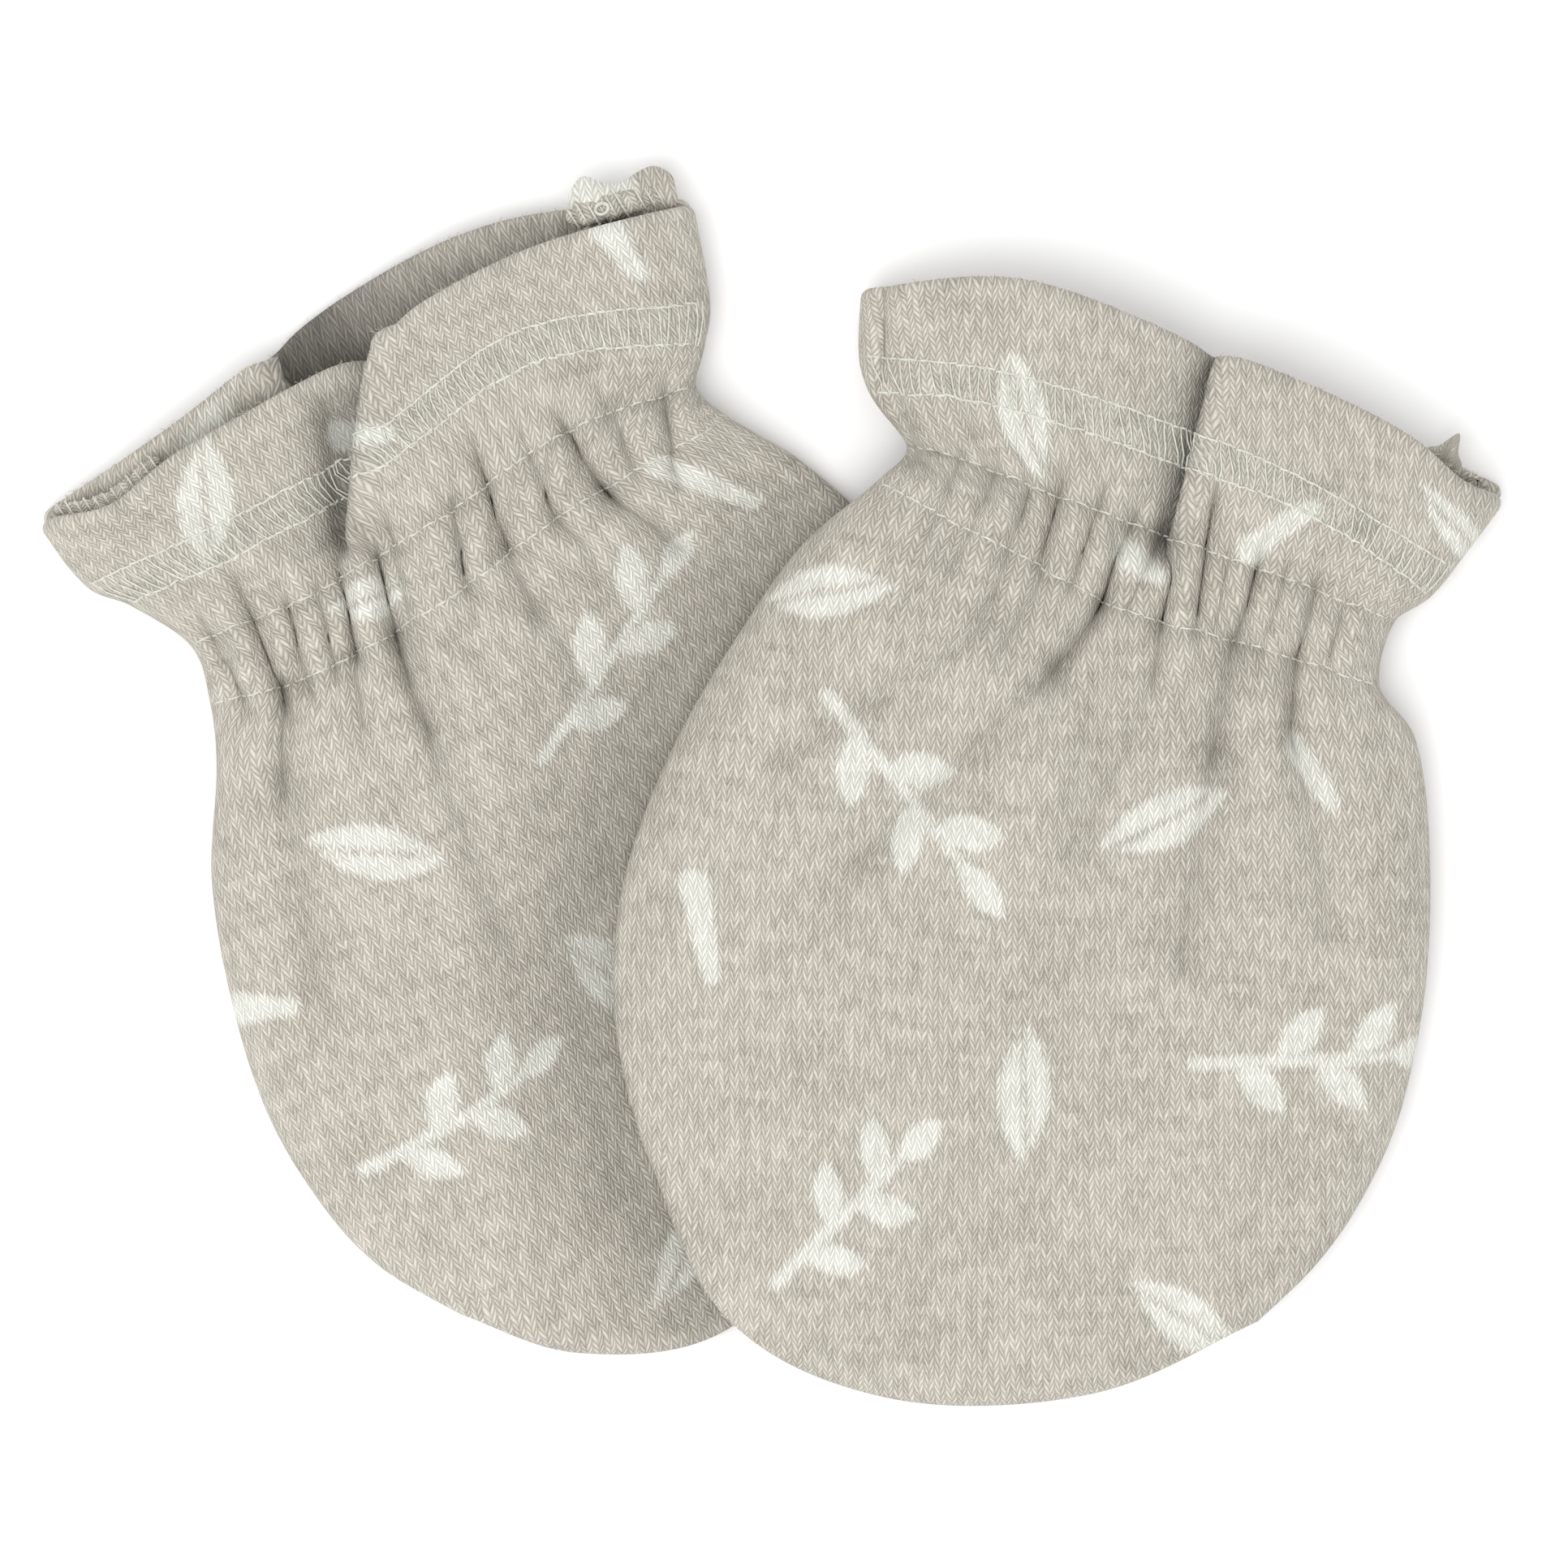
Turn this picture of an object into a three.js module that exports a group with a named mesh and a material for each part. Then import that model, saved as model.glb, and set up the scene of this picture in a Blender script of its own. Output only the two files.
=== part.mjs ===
// A pair of newborn's mittens in cotton interlock knit, laid flat, the right one partly on the left one.
// Each is a front and a back panel sewn round the curve, gathered at the wrist by an elastic casing, with a
// hemmed frill standing open above it. Millimetres, +Z up, and the surface that the pair lies on is at Z 0.
import * as THREE from "three";

// The cloth and its seams.
const CLOTH_WALL = 1.2;
const HEM_WALL = 2;
const SEAM_GAP = 0.3;
const SEAM_HEIGHT = 2.6;
const FLAT_SEAM_HEIGHT = CLOTH_WALL + SEAM_GAP / 2;

// How the panels round over at the side seams and the fingertips, and how much of the rise is that rounding.
const FRONT_ROUNDING = 7;
const BACK_ROUNDING = 5;
const FLAT_ROUNDING = 0.8;
const ROUNDING_SHARE = 0.62;

// The left mitten is pressed flat under the right one, which is lifted by the left one's two walls.
const PRESSED_HEIGHT = 1.5 * CLOTH_WALL + SEAM_GAP;
const LIFT = 2 * CLOTH_WALL + 2.6 * SEAM_GAP;
const CONTACT_MARGIN = 1.6;
const PRESS_REACH = 15;
const LIFT_REACH = 13;

// Cells of the walls: across each panel, and how much closer they stand near the seams.
const FRONT_CELLS_ACROSS = 42;
const BACK_CELLS_ACROSS = 24;
const SEAM_CROWDING = 0.3;

const COLOUR = 0xc7c0b4;

// Sections of a mitten from the mouth to the fingertips, in its own frame: X across, Y towards the mouth.
// down is the way along the cloth, height the front's crown over the surface, and each place is [x, y].
const RIGHT_CUFF = [
  {
    row: "mouth", down: 0, cells: 3, backCells: 2, wall: HEM_WALL, height: 9.4,
    leftSeam: [-33.1, 16.9], leftQuarter: [-19.5, 22.1], middle: [-2.6, 21.6],
    rightQuarter: [13.2, 20.5], rightSeam: [29.6, 17.6],
  },
  {
    row: "upper coverstitch", down: 8.6, cells: 1, backCells: 1, wall: HEM_WALL, height: 9.5,
    leftSeam: [-31.3, 10.9], leftQuarter: [-18.5, 13.3], middle: [-2.2, 13.5],
    rightQuarter: [11.4, 12.4], rightSeam: [27, 9.2],
  },
  {
    row: "lower coverstitch", down: 12, cells: 3, backCells: 1, wall: HEM_WALL, height: 9.6,
    leftSeam: [-29.5, 8.3], leftQuarter: [-17.3, 10.1], middle: [-0.9, 10.1],
    rightQuarter: [11.9, 9.5], rightSeam: [25.8, 6.3],
  },
  {
    row: "upper casing stitch", down: 18.6, cells: 3, backCells: 2, wall: CLOTH_WALL, height: 9.8,
    leftSeam: [-24.9, 4.3], leftQuarter: [-13.5, 4], middle: [-1.3, 3.5],
    rightQuarter: [10.8, 3.2], rightSeam: [23.6, 2.6],
  },
  {
    row: "lower casing stitch", down: 26.4, cells: 3, backCells: 2, wall: CLOTH_WALL, height: 10,
    leftSeam: [-26.6, -0.2], leftQuarter: [-13.4, -2.3], middle: [0.1, -4.3],
    rightQuarter: [12.3, -3.7], rightSeam: [24.2, -3.8],
  },
];
const RIGHT_HAND = [
  { row: "thumb base", down: 34, cells: 2, backCells: 1, height: 10.3,
    leftSeam: [-31.2, -7.6], rightSeam: [29, -7.6], bow: -4.6 },
  { row: "knuckles", down: 44, cells: 2, backCells: 1, height: 10.3,
    leftSeam: [-34.2, -16.8], rightSeam: [33.3, -16.7], bow: -5.2 },
  { row: "palm", down: 57, cells: 2, backCells: 1, height: 9.8,
    leftSeam: [-36.9, -29], rightSeam: [36.9, -29], bow: -6 },
  { row: "widest", down: 70, cells: 2, backCells: 1, height: 9.4,
    leftSeam: [-37.6, -41], rightSeam: [38.3, -41], bow: -7.5 },
  { row: "fingers", down: 82, cells: 1, backCells: 1, height: 8.6,
    leftSeam: [-36, -50.5], rightSeam: [37.3, -50.2], bow: -9.8 },
  { row: "fingertips", down: 92, cells: 3, backCells: 3, height: 7.6,
    leftSeam: [-32.9, -58.2], rightSeam: [35.2, -57], bow: -13 },
  { row: "end seam", down: 103.5, height: 7,
    leftSeam: [-28.6, -65.4], leftQuarter: [-15.8, -78.4], middle: [1, -80.7],
    rightQuarter: [19, -76], rightSeam: [31.8, -63.8] },
];
const LEFT_CUFF = [
  {
    row: "mouth", down: 0, cells: 3, backCells: 2, wall: HEM_WALL, height: 9.4,
    leftSeam: [-34.9, 17.1], leftQuarter: [-18.9, 17.6], middle: [0.5, 20],
    rightQuarter: [16.5, 20.8], rightSeam: [32.6, 18.9],
  },
  {
    row: "upper coverstitch", down: 8.6, cells: 1, backCells: 1, wall: HEM_WALL, height: 9.5,
    leftSeam: [-33.2, 9.8], leftQuarter: [-21, 9.4], middle: [-4.4, 10.8],
    rightQuarter: [12.8, 14.3], rightSeam: [30.2, 9.9],
  },
  {
    row: "lower coverstitch", down: 12, cells: 3, backCells: 1, wall: HEM_WALL, height: 9.6,
    leftSeam: [-30.4, 6.9], leftQuarter: [-19.6, 6.1], middle: [-4, 7.8],
    rightQuarter: [12.7, 10.9], rightSeam: [28.2, 6.7],
  },
  {
    row: "upper casing stitch", down: 18.6, cells: 3, backCells: 2, wall: CLOTH_WALL, height: 9.8,
    leftSeam: [-27, 0.6], leftQuarter: [-15.5, -0.1], middle: [-1.2, 1.3],
    rightQuarter: [12.9, 3.8], rightSeam: [26.1, 3],
  },
  {
    row: "lower casing stitch", down: 26.4, cells: 3, backCells: 2, wall: CLOTH_WALL, height: 10,
    leftSeam: [-27.6, -5.4], leftQuarter: [-17, -6.8], middle: [-3, -5.6],
    rightQuarter: [10.9, -2.7], rightSeam: [27.8, -1.2],
  },
];
const LEFT_HAND = [
  { row: "thumb base", down: 34, cells: 2, backCells: 1, height: 10.3,
    leftSeam: [-29.6, -11.2], rightSeam: [32.3, -7.8], bow: -3.6 },
  { row: "knuckles", down: 44, cells: 2, backCells: 1, height: 10.3,
    leftSeam: [-34.3, -20.4], rightSeam: [36.4, -17.8], bow: -4.6 },
  { row: "palm", down: 57, cells: 2, backCells: 1, height: 9.8,
    leftSeam: [-37.4, -32], rightSeam: [37.7, -30], bow: -6.2 },
  { row: "widest", down: 70, cells: 2, backCells: 1, height: 9.4,
    leftSeam: [-38.6, -43], rightSeam: [35.2, -42.3], bow: -8.2 },
  { row: "fingers", down: 82, cells: 1, backCells: 1, height: 8.6,
    leftSeam: [-37.4, -52.8], rightSeam: [30.6, -51], bow: -11 },
  { row: "fingertips", down: 92, cells: 3, backCells: 3, height: 7.6,
    leftSeam: [-35, -59.8], rightSeam: [25.2, -58.2], bow: -14 },
  { row: "end seam", down: 103.5, height: 7,
    leftSeam: [-30.2, -67], leftQuarter: [-21.1, -74.9], middle: [-8.6, -78.7],
    rightQuarter: [6.4, -73.3], rightSeam: [19.4, -64] },
];

// The back panel's mouth edge, which shows above the left mitten's front and hides under the right one's.
// stand is how far the edge stands up from the surface.
const RIGHT_BACK_MOUTH = {
  leftSeam: { at: [-32.9, 16.4], stand: 0 }, leftQuarter: { at: [-19.5, 21.4], stand: 0.2 },
  middle: { at: [-2.6, 20.8], stand: 0.2 }, rightQuarter: { at: [13.2, 20], stand: 0.4 },
  rightSeam: { at: [29.4, 18], stand: 0 },
};
const LEFT_BACK_MOUTH = {
  leftSeam: { at: [-34.5, 17.7], stand: 0 }, leftQuarter: { at: [-19.8, 20.3], stand: 2.6 },
  middle: { at: [-0.4, 25.1], stand: 0.2 }, rightQuarter: { at: [15.5, 25], stand: 0.3 },
  rightSeam: { at: [32.5, 19.9], stand: 0 },
};

// Gathers and creases of the fronts: a soft trough from its top to its foot, half its width, and its depth.
const RIGHT_TROUGHS = [
  { crease: "pleat at the mouth", top: [0, 24], foot: [1.4, 12], half: 1.5, deep: 3.4 },
  { crease: "pleat below the hem", top: [1.4, 12], foot: [1.6, 2.6], half: 1.5, deep: 2.6 },
  { crease: "hollow at the left neck", top: [-26, 8], foot: [-23.5, 4], half: 1.5, deep: 1 },
  { crease: "gather 1", top: [-19.6, 4.6], foot: [-20.4, -3], half: 1.3, deep: 0.7 },
  { crease: "gather 2", top: [-16.2, 3.4], foot: [-17, -4], half: 1.2, deep: 0.7 },
  { crease: "gather 3", top: [-12.8, 2.5], foot: [-13.3, -9], half: 1.3, deep: 0.8 },
  { crease: "gather 4", top: [-9.8, 3.6], foot: [-9.7, -1.2], half: 1.2, deep: 1.4 },
  { crease: "gather 5", top: [-6.2, 4.6], foot: [-6.4, -2.6], half: 1.1, deep: 0.9 },
  { crease: "gather 6", top: [-2.7, 3.4], foot: [-3.1, -3.6], half: 1.1, deep: 1.5 },
  { crease: "gather 7", top: [-0.3, 3.2], foot: [-0.6, -3], half: 1, deep: 1 },
  { crease: "gather 8", top: [2.3, 3], foot: [2.7, -3], half: 1.1, deep: 1.4 },
  { crease: "gather 9", top: [3.8, 7.2], foot: [5.4, -2.2], half: 1.1, deep: 1.5 },
  { crease: "gather 10", top: [7, 2.8], foot: [7.4, -2], half: 1, deep: 0.7 },
  { crease: "gather 11", top: [9.4, 2.6], foot: [9.6, -2.6], half: 1.1, deep: 1.4 },
  { crease: "gather 12", top: [12.3, 3.4], foot: [12.5, -2], half: 1.1, deep: 0.8 },
  { crease: "gather 13", top: [15.2, 3], foot: [15.6, -1.8], half: 1.2, deep: 1.4 },
  { crease: "gather 14", top: [18.4, 1.4], foot: [18.6, -2], half: 1.1, deep: 1 },
  { crease: "run-out 1", top: [-3.1, -4.7], foot: [-5.3, -11], half: 1.5, deep: 1.6 },
  { crease: "run-out 2", top: [3.1, -4.5], foot: [3.4, -8], half: 1.4, deep: 0.9 },
  { crease: "run-out 3", top: [9.4, -4.4], foot: [10.8, -13.5], half: 2.2, deep: 1.3 },
  { crease: "run-out 4", top: [16, -4.1], foot: [17.3, -10], half: 1.6, deep: 1.4 },
  { crease: "run-out 5", top: [-9.2, -4.4], foot: [-10.4, -10], half: 1.8, deep: 0.8 },
  { crease: "run-out 6", top: [-18.6, -3.6], foot: [-20.5, -9], half: 1.8, deep: 0.6 },
];
const LEFT_TROUGHS = [
  { crease: "valley beside the pleat", top: [-6.6, 15], foot: [-10, 4], half: 2.6, deep: 1.8 },
  { crease: "right end of the casing", top: [22.8, 3], foot: [21.1, -3], half: 1.2, deep: 1.6 },
  { crease: "gather 1", top: [17.6, 4.6], foot: [17.4, -1], half: 1.1, deep: 0.8 },
  { crease: "gather 2", top: [13.4, 4], foot: [14.4, -2.6], half: 1.2, deep: 1.4 },
  { crease: "gather 3", top: [9.2, 4.8], foot: [9, -2], half: 1.2, deep: 0.8 },
  { crease: "gather 4", top: [4.9, 4.6], foot: [4, -2.7], half: 1.3, deep: 1.5 },
  { crease: "gather 5", top: [0.6, 1.6], foot: [-1, -4], half: 1.1, deep: 1 },
  { crease: "gather 6", top: [-5.4, 1.4], foot: [-6.6, -4.4], half: 1, deep: 1 },
  { crease: "gather 7", top: [-7.6, 0.8], foot: [-9, -7], half: 1.1, deep: 1.5 },
  { crease: "gather 8", top: [-11.3, 0.8], foot: [-12.7, -6], half: 1.1, deep: 1.5 },
  { crease: "gather 9", top: [-14.2, -0.6], foot: [-15.4, -6.4], half: 1, deep: 0.9 },
  { crease: "gather 10", top: [-16.9, -0.6], foot: [-17.9, -7], half: 1, deep: 1 },
  { crease: "gather 11", top: [-20.4, 3], foot: [-20.9, -6.4], half: 1.2, deep: 1.3 },
  { crease: "gather 12", top: [-24.4, 0.4], foot: [-24, -5.4], half: 1.2, deep: 1.4 },
  { crease: "run-out 1", top: [14.4, -2.6], foot: [17.9, -9], half: 1.6, deep: 1.3 },
  { crease: "run-out 2", top: [4, -3.4], foot: [3.6, -9], half: 1.6, deep: 0.8 },
  { crease: "run-out 3", top: [-9.5, -6.8], foot: [-9.9, -15], half: 1.5, deep: 1.4 },
  { crease: "run-out 4", top: [-13.5, -7.6], foot: [-15, -13], half: 1.5, deep: 0.9 },
  { crease: "run-out 5", top: [-20.7, -7.1], foot: [-24, -14], half: 1.6, deep: 1.4 },
  { crease: "run-out 6", top: [9.4, -3], foot: [10.6, -8], half: 1.6, deep: 0.6 },
];

// The left front's pleat: the cloth right of this line stands over the cloth left of it.
const LEFT_PLEAT = {
  top: [2.2, 22], foot: [-8.4, 4], drop: 2.2, slideBack: 1.5, edge: 1, reach: 8, fadeBelow: 4,
};

// Gathers on the undersides: grooves that rise clear of the surface at the casing.
const BACK_GATHERS = [
  { groove: 1, across: -0.76, half: 0.06, rise: 0.7 },
  { groove: 2, across: -0.5, half: 0.07, rise: 0.7 },
  { groove: 3, across: -0.22, half: 0.06, rise: 0.6 },
  { groove: 4, across: 0.06, half: 0.07, rise: 0.6 },
  { groove: 5, across: 0.34, half: 0.06, rise: 0.6 },
  { groove: 6, across: 0.6, half: 0.07, rise: 0.7 },
  { groove: 7, across: 0.82, half: 0.05, rise: 0.6 },
];
const BACK_GATHER_MIDDLE = 22;
const BACK_GATHER_REACH = 7;

// Where each mitten lies: its frame's origin and its turn about Z, and what it is made by.
const LEFT = {
  name: "left", at: [-29.6, 24.15], turn: 24.5, rows: filled([...LEFT_CUFF, ...LEFT_HAND]),
  backMouth: LEFT_BACK_MOUTH, troughs: LEFT_TROUGHS, pleat: LEFT_PLEAT,
};
const RIGHT = {
  name: "right", at: [35, 20.45], turn: -18, rows: filled([...RIGHT_CUFF, ...RIGHT_HAND]),
  backMouth: RIGHT_BACK_MOUTH, troughs: RIGHT_TROUGHS, pleat: null,
};

// Ends of the overlocked seam allowances that show at a mouth's right corner. They lie on the back panel.
const SEAM_END_WALL = 1.8;
const SEAM_ENDS = [
  { of: LEFT, from: 0.71, to: 0.99, inside: -0.6, outside: [1.6, 2.8, 1.9, 1.7, 2.6, 3, 2] },
  { of: RIGHT, from: 0.72, to: 0.9, inside: -1.2, outside: [0.9, 1.4, 2.3, 1.6, 0.7] },
];

// Rows given by their two seams and a bow get the three places between them.
function filled(rows) {
  return rows.map((row) => {
    if (row.middle) return { wall: CLOTH_WALL, ...row };
    const between = (f) => [
      row.leftSeam[0] + (row.rightSeam[0] - row.leftSeam[0]) * f,
      row.leftSeam[1] + (row.rightSeam[1] - row.leftSeam[1]) * f + row.bow * (1 - (2 * f - 1) ** 2),
    ];
    return {
      wall: CLOTH_WALL, ...row,
      leftQuarter: between(0.25), middle: between(0.5), rightQuarter: between(0.75),
    };
  });
}

// A smooth value at t through stations of [t, value], by cubics with the neighbours' slopes.
function through(stations, t) {
  const last = stations.length - 1;
  let i = 0;
  while (i < last - 1 && t > stations[i + 1][0]) i += 1;
  const slope = (k) => {
    const a = stations[Math.max(k - 1, 0)];
    const b = stations[Math.min(k + 1, last)];
    return (b[1] - a[1]) / (b[0] - a[0]);
  };
  const [t0, v0] = stations[i];
  const [t1, v1] = stations[i + 1];
  const span = t1 - t0;
  const f = (t - t0) / span;
  const f2 = f * f;
  const f3 = f2 * f;
  return (2 * f3 - 3 * f2 + 1) * v0 + (f3 - 2 * f2 + f) * span * slope(i)
    + (3 * f2 - 2 * f3) * v1 + (f3 - f2) * span * slope(i + 1);
}

const smooth = (f) => {
  const c = THREE.MathUtils.clamp(f, 0, 1);
  return c * c * (3 - 2 * c);
};
const mix = THREE.MathUtils.lerp;

// A quarter round: how far the cloth has risen at a distance in from its edge.
function rounded(distance, width) {
  const f = THREE.MathUtils.clamp(1 - distance / width, 0, 1);
  return Math.sqrt(1 - f * f);
}

const PLACES = ["leftSeam", "leftQuarter", "middle", "rightQuarter", "rightSeam"];
const endDown = (mitten) => mitten.rows.at(-1).down;

// A value of the rows at a way down the cloth.
function rowValue(mitten, key, down) {
  return through(mitten.rows.map((row) => [row.down, row[key]]), down);
}

// The place [x, y] of the cloth, s across from -1 at the left seam to 1 at the right, before any fold.
function clothPlace(mitten, s, down, isBack) {
  const acrossRow = (row, axis) => through(
    PLACES.map((key, i) => [i / 2 - 1, isBack && row === mitten.rows[0]
      ? mitten.backMouth[key].at[axis] : row[key][axis]]), s);
  const axisValue = (axis) => through(mitten.rows.map((row) => [row.down, acrossRow(row, axis)]), down);
  return [axisValue(0), axisValue(1)];
}

// Seams are drawn at the outside of the wall, so the wall's middle lies half a wall inside them.
function insetPlace(mitten, s, down, isBack) {
  const [x, y] = clothPlace(mitten, s, down, isBack);
  const widthInset = s ** 3 * CLOTH_WALL / 2;
  const endInset = (down / endDown(mitten)) ** 6 * CLOTH_WALL / 2;
  return [x - widthInset, y + endInset];
}

function toWorld(mitten, [x, y]) {
  const turn = THREE.MathUtils.degToRad(mitten.turn);
  return [
    mitten.at[0] + x * Math.cos(turn) - y * Math.sin(turn),
    mitten.at[1] + x * Math.sin(turn) + y * Math.cos(turn),
  ];
}

// A mitten's outline as it lies, for what is pressed or lifted by the other one.
const OUTLINE_STEP = 3;
function outline(mitten) {
  const last = endDown(mitten);
  const sideSteps = Math.round(last / OUTLINE_STEP);
  const crossSteps = 16;
  const left = Array.from({ length: sideSteps + 1 }, (_, i) => [-1, i / sideSteps * last]);
  const right = left.map(([, down]) => [1, down]).reverse();
  const end = Array.from({ length: crossSteps - 1 }, (_, i) => [2 * (i + 1) / crossSteps - 1, last]);
  const mouth = end.map(([s]) => [-s, 0]);
  return [...left, ...end, ...right, ...mouth]
    .map(([s, down]) => toWorld(mitten, clothPlace(mitten, s, down, false)));
}

// How far a point lies outside an outline, and 0 or less inside it.
function distanceOutside(points, [x, y]) {
  let nearest = Infinity;
  let inside = false;
  points.forEach(([ax, ay], i) => {
    const [bx, by] = points[(i + 1) % points.length];
    const f = THREE.MathUtils.clamp(
      ((x - ax) * (bx - ax) + (y - ay) * (by - ay)) / ((bx - ax) ** 2 + (by - ay) ** 2), 0, 1);
    nearest = Math.min(nearest, Math.hypot(x - mix(ax, bx, f), y - mix(ay, by, f)));
    if (ay > y !== by > y && x < ax + (y - ay) * (bx - ax) / (by - ay)) inside = !inside;
  });
  return inside ? -nearest : nearest;
}

const LEFT_OUTLINE = outline(LEFT);
const RIGHT_OUTLINE = outline(RIGHT);

// 1 where the left mitten is pressed flat under the right one, 0 where it is free.
function pressed(mitten, place) {
  if (mitten !== LEFT) return 0;
  const away = distanceOutside(RIGHT_OUTLINE, toWorld(mitten, place)) - CONTACT_MARGIN;
  return 1 - smooth(away / PRESS_REACH);
}

// How high the left mitten lifts the right one.
function lifted(mitten, place) {
  if (mitten !== RIGHT) return 0;
  const away = distanceOutside(LEFT_OUTLINE, toWorld(mitten, place)) - CONTACT_MARGIN;
  return LIFT * (1 - smooth(away / LIFT_REACH));
}

// The depth of the soft troughs at a place.
const TROUGH_END = 2.2;
function troughDepth(troughs, [x, y]) {
  return troughs.reduce((sum, { top, foot, half, deep }) => {
    const along = new THREE.Vector2(foot[0] - top[0], foot[1] - top[1]);
    const length = along.length();
    along.normalize();
    const way = (x - top[0]) * along.x + (y - top[1]) * along.y;
    const side = (x - top[0]) * along.y - (y - top[1]) * along.x;
    const beyond = Math.max(-way, way - length, 0);
    return sum + deep * Math.exp(-((side / half) ** 2) - (beyond / TROUGH_END) ** 2);
  }, 0);
}

// How far a place is on the low side of a pleat: 1 just past its edge, fading out over its reach.
function pleatShare(pleat, [x, y]) {
  if (!pleat) return 0;
  const along = new THREE.Vector2(pleat.foot[0] - pleat.top[0], pleat.foot[1] - pleat.top[1]);
  const length = along.length();
  along.normalize();
  const way = (x - pleat.top[0]) * along.x + (y - pleat.top[1]) * along.y;
  const low = (x - pleat.top[0]) * along.y - (y - pleat.top[1]) * along.x;
  const step = smooth(0.5 + low / (2 * pleat.edge)) * Math.exp(-Math.max(low, 0) / pleat.reach);
  return step * (1 - smooth((way - length) / pleat.fadeBelow));
}

// The middle of a front panel's wall, without its folds, and with them.
function frontBase(mitten, s, down) {
  const place = insetPlace(mitten, s, down, false);
  const press = pressed(mitten, place);
  const lift = lifted(mitten, place);
  const halfWidth = (rowValue(mitten, "rightX", down) - rowValue(mitten, "leftX", down)) / 2;
  const width = mix(FRONT_ROUNDING, FLAT_ROUNDING, press);
  const round = rounded((1 - Math.abs(s)) * halfWidth, width) * rounded(endDown(mitten) - down, width);
  const crown = 1 - s * s;
  const seam = mix(SEAM_HEIGHT, FLAT_SEAM_HEIGHT, press) + SEAM_GAP / 2;
  const top = mix(rowValue(mitten, "height", down), PRESSED_HEIGHT, press);
  const share = mix(ROUNDING_SHARE, 1, press);
  const rise = (top - seam) * round * (share + (1 - share) * crown);
  return { place, z: lift + seam + rise, free: round * (1 - press) };
}
function frontPlace(mitten, s, down) {
  const { place, z, free } = frontBase(mitten, s, down);
  const trough = troughDepth(mitten.troughs, place) * free;
  const low = pleatShare(mitten.pleat, place) * free;
  const back = mitten.pleat ? mitten.pleat.slideBack : 0;
  const drop = mitten.pleat ? mitten.pleat.drop : 0;
  const nearMouth = 1 - smooth(down / rowDown(mitten, "upper coverstitch"));
  return new THREE.Vector3(place[0], place[1] - low * back * nearMouth, z - trough - low * drop);
}
const rowDown = (mitten, name) => mitten.rows.find((row) => row.row === name).down;

// The middle of a back panel's wall: flat on the surface, rounding up to the seam, standing up at the mouth.
function backPlace(mitten, s, down) {
  const place = insetPlace(mitten, s, down, true);
  const press = pressed(mitten, place);
  const lift = lifted(mitten, place);
  const halfWidth = (rowValue(mitten, "rightX", down) - rowValue(mitten, "leftX", down)) / 2;
  const width = mix(BACK_ROUNDING, FLAT_ROUNDING, press);
  const round = rounded((1 - Math.abs(s)) * halfWidth, width) * rounded(endDown(mitten) - down, width);
  const seam = mix(SEAM_HEIGHT, FLAT_SEAM_HEIGHT, press) - SEAM_GAP / 2;
  const wall = rowValue(mitten, "wall", down);
  const stand = through(PLACES.map((key, i) => [i / 2 - 1, mitten.backMouth[key].stand]), s)
    * (1 - smooth(down / rowDown(mitten, "lower coverstitch")));
  const nearCasing = Math.exp(-(((down - BACK_GATHER_MIDDLE) / BACK_GATHER_REACH) ** 2));
  const gather = BACK_GATHERS.reduce(
    (sum, { across, half, rise }) => sum + rise * Math.exp(-(((s - across) / half) ** 2)), 0);
  const flat = wall / 2 + (stand + gather * nearCasing) * round * (1 - press);
  return new THREE.Vector3(place[0], place[1], lift + mix(seam, flat, round));
}

// The way that the cloth's upper side faces at a point, from the form without its folds: level at a seam,
// outward on a front, which comes down to it, and inward on a back, which comes up to it.
const FACING_STEP = 1e-3;
const SEAM_INWARD = { share: 0.04, down: 3 };
const FRONT_AT_SEAM = 1;
const BACK_AT_SEAM = -1;
function facing(position, s, down, lastDown, wayAtSeam) {
  const onSide = Math.abs(s) === 1;
  const onEnd = down === lastDown;
  if (onSide || onEnd) {
    const inner = position(onSide ? s * (1 - SEAM_INWARD.share) : s, onEnd ? down - SEAM_INWARD.down : down);
    return position(s, down).sub(inner).setZ(0).normalize().multiplyScalar(wayAtSeam);
  }
  const sA = Math.max(s - FACING_STEP, -1);
  const sB = Math.min(s + FACING_STEP, 1);
  const dA = Math.max(down - FACING_STEP, 0);
  const dB = Math.min(down + FACING_STEP, lastDown);
  const across = position(sB, down).sub(position(sA, down));
  const along = position(s, dB).sub(position(s, dA));
  return along.cross(across).normalize();
}

// Places across a panel, closer together near its seams.
function acrossSteps(cells) {
  return Array.from({ length: cells + 1 }, (_, i) => {
    const t = 2 * i / cells - 1;
    return mix(t, Math.sin(t * Math.PI / 2), SEAM_CROWDING);
  });
}

// Ways down a panel, each row's stretch cut into its cells, and the last one crowded at the end seam.
function downSteps(mitten, key) {
  const steps = mitten.rows.slice(0, -1).flatMap((row, i) => {
    const next = mitten.rows[i + 1];
    const isLast = i === mitten.rows.length - 2;
    return Array.from({ length: row[key] }, (_, k) => {
      const f = k / row[key];
      return mix(row.down, next.down, isLast ? Math.sin(f * Math.PI / 2) : f);
    });
  });
  return [...steps, endDown(mitten) - FLAT_ROUNDING, endDown(mitten)];
}

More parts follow.
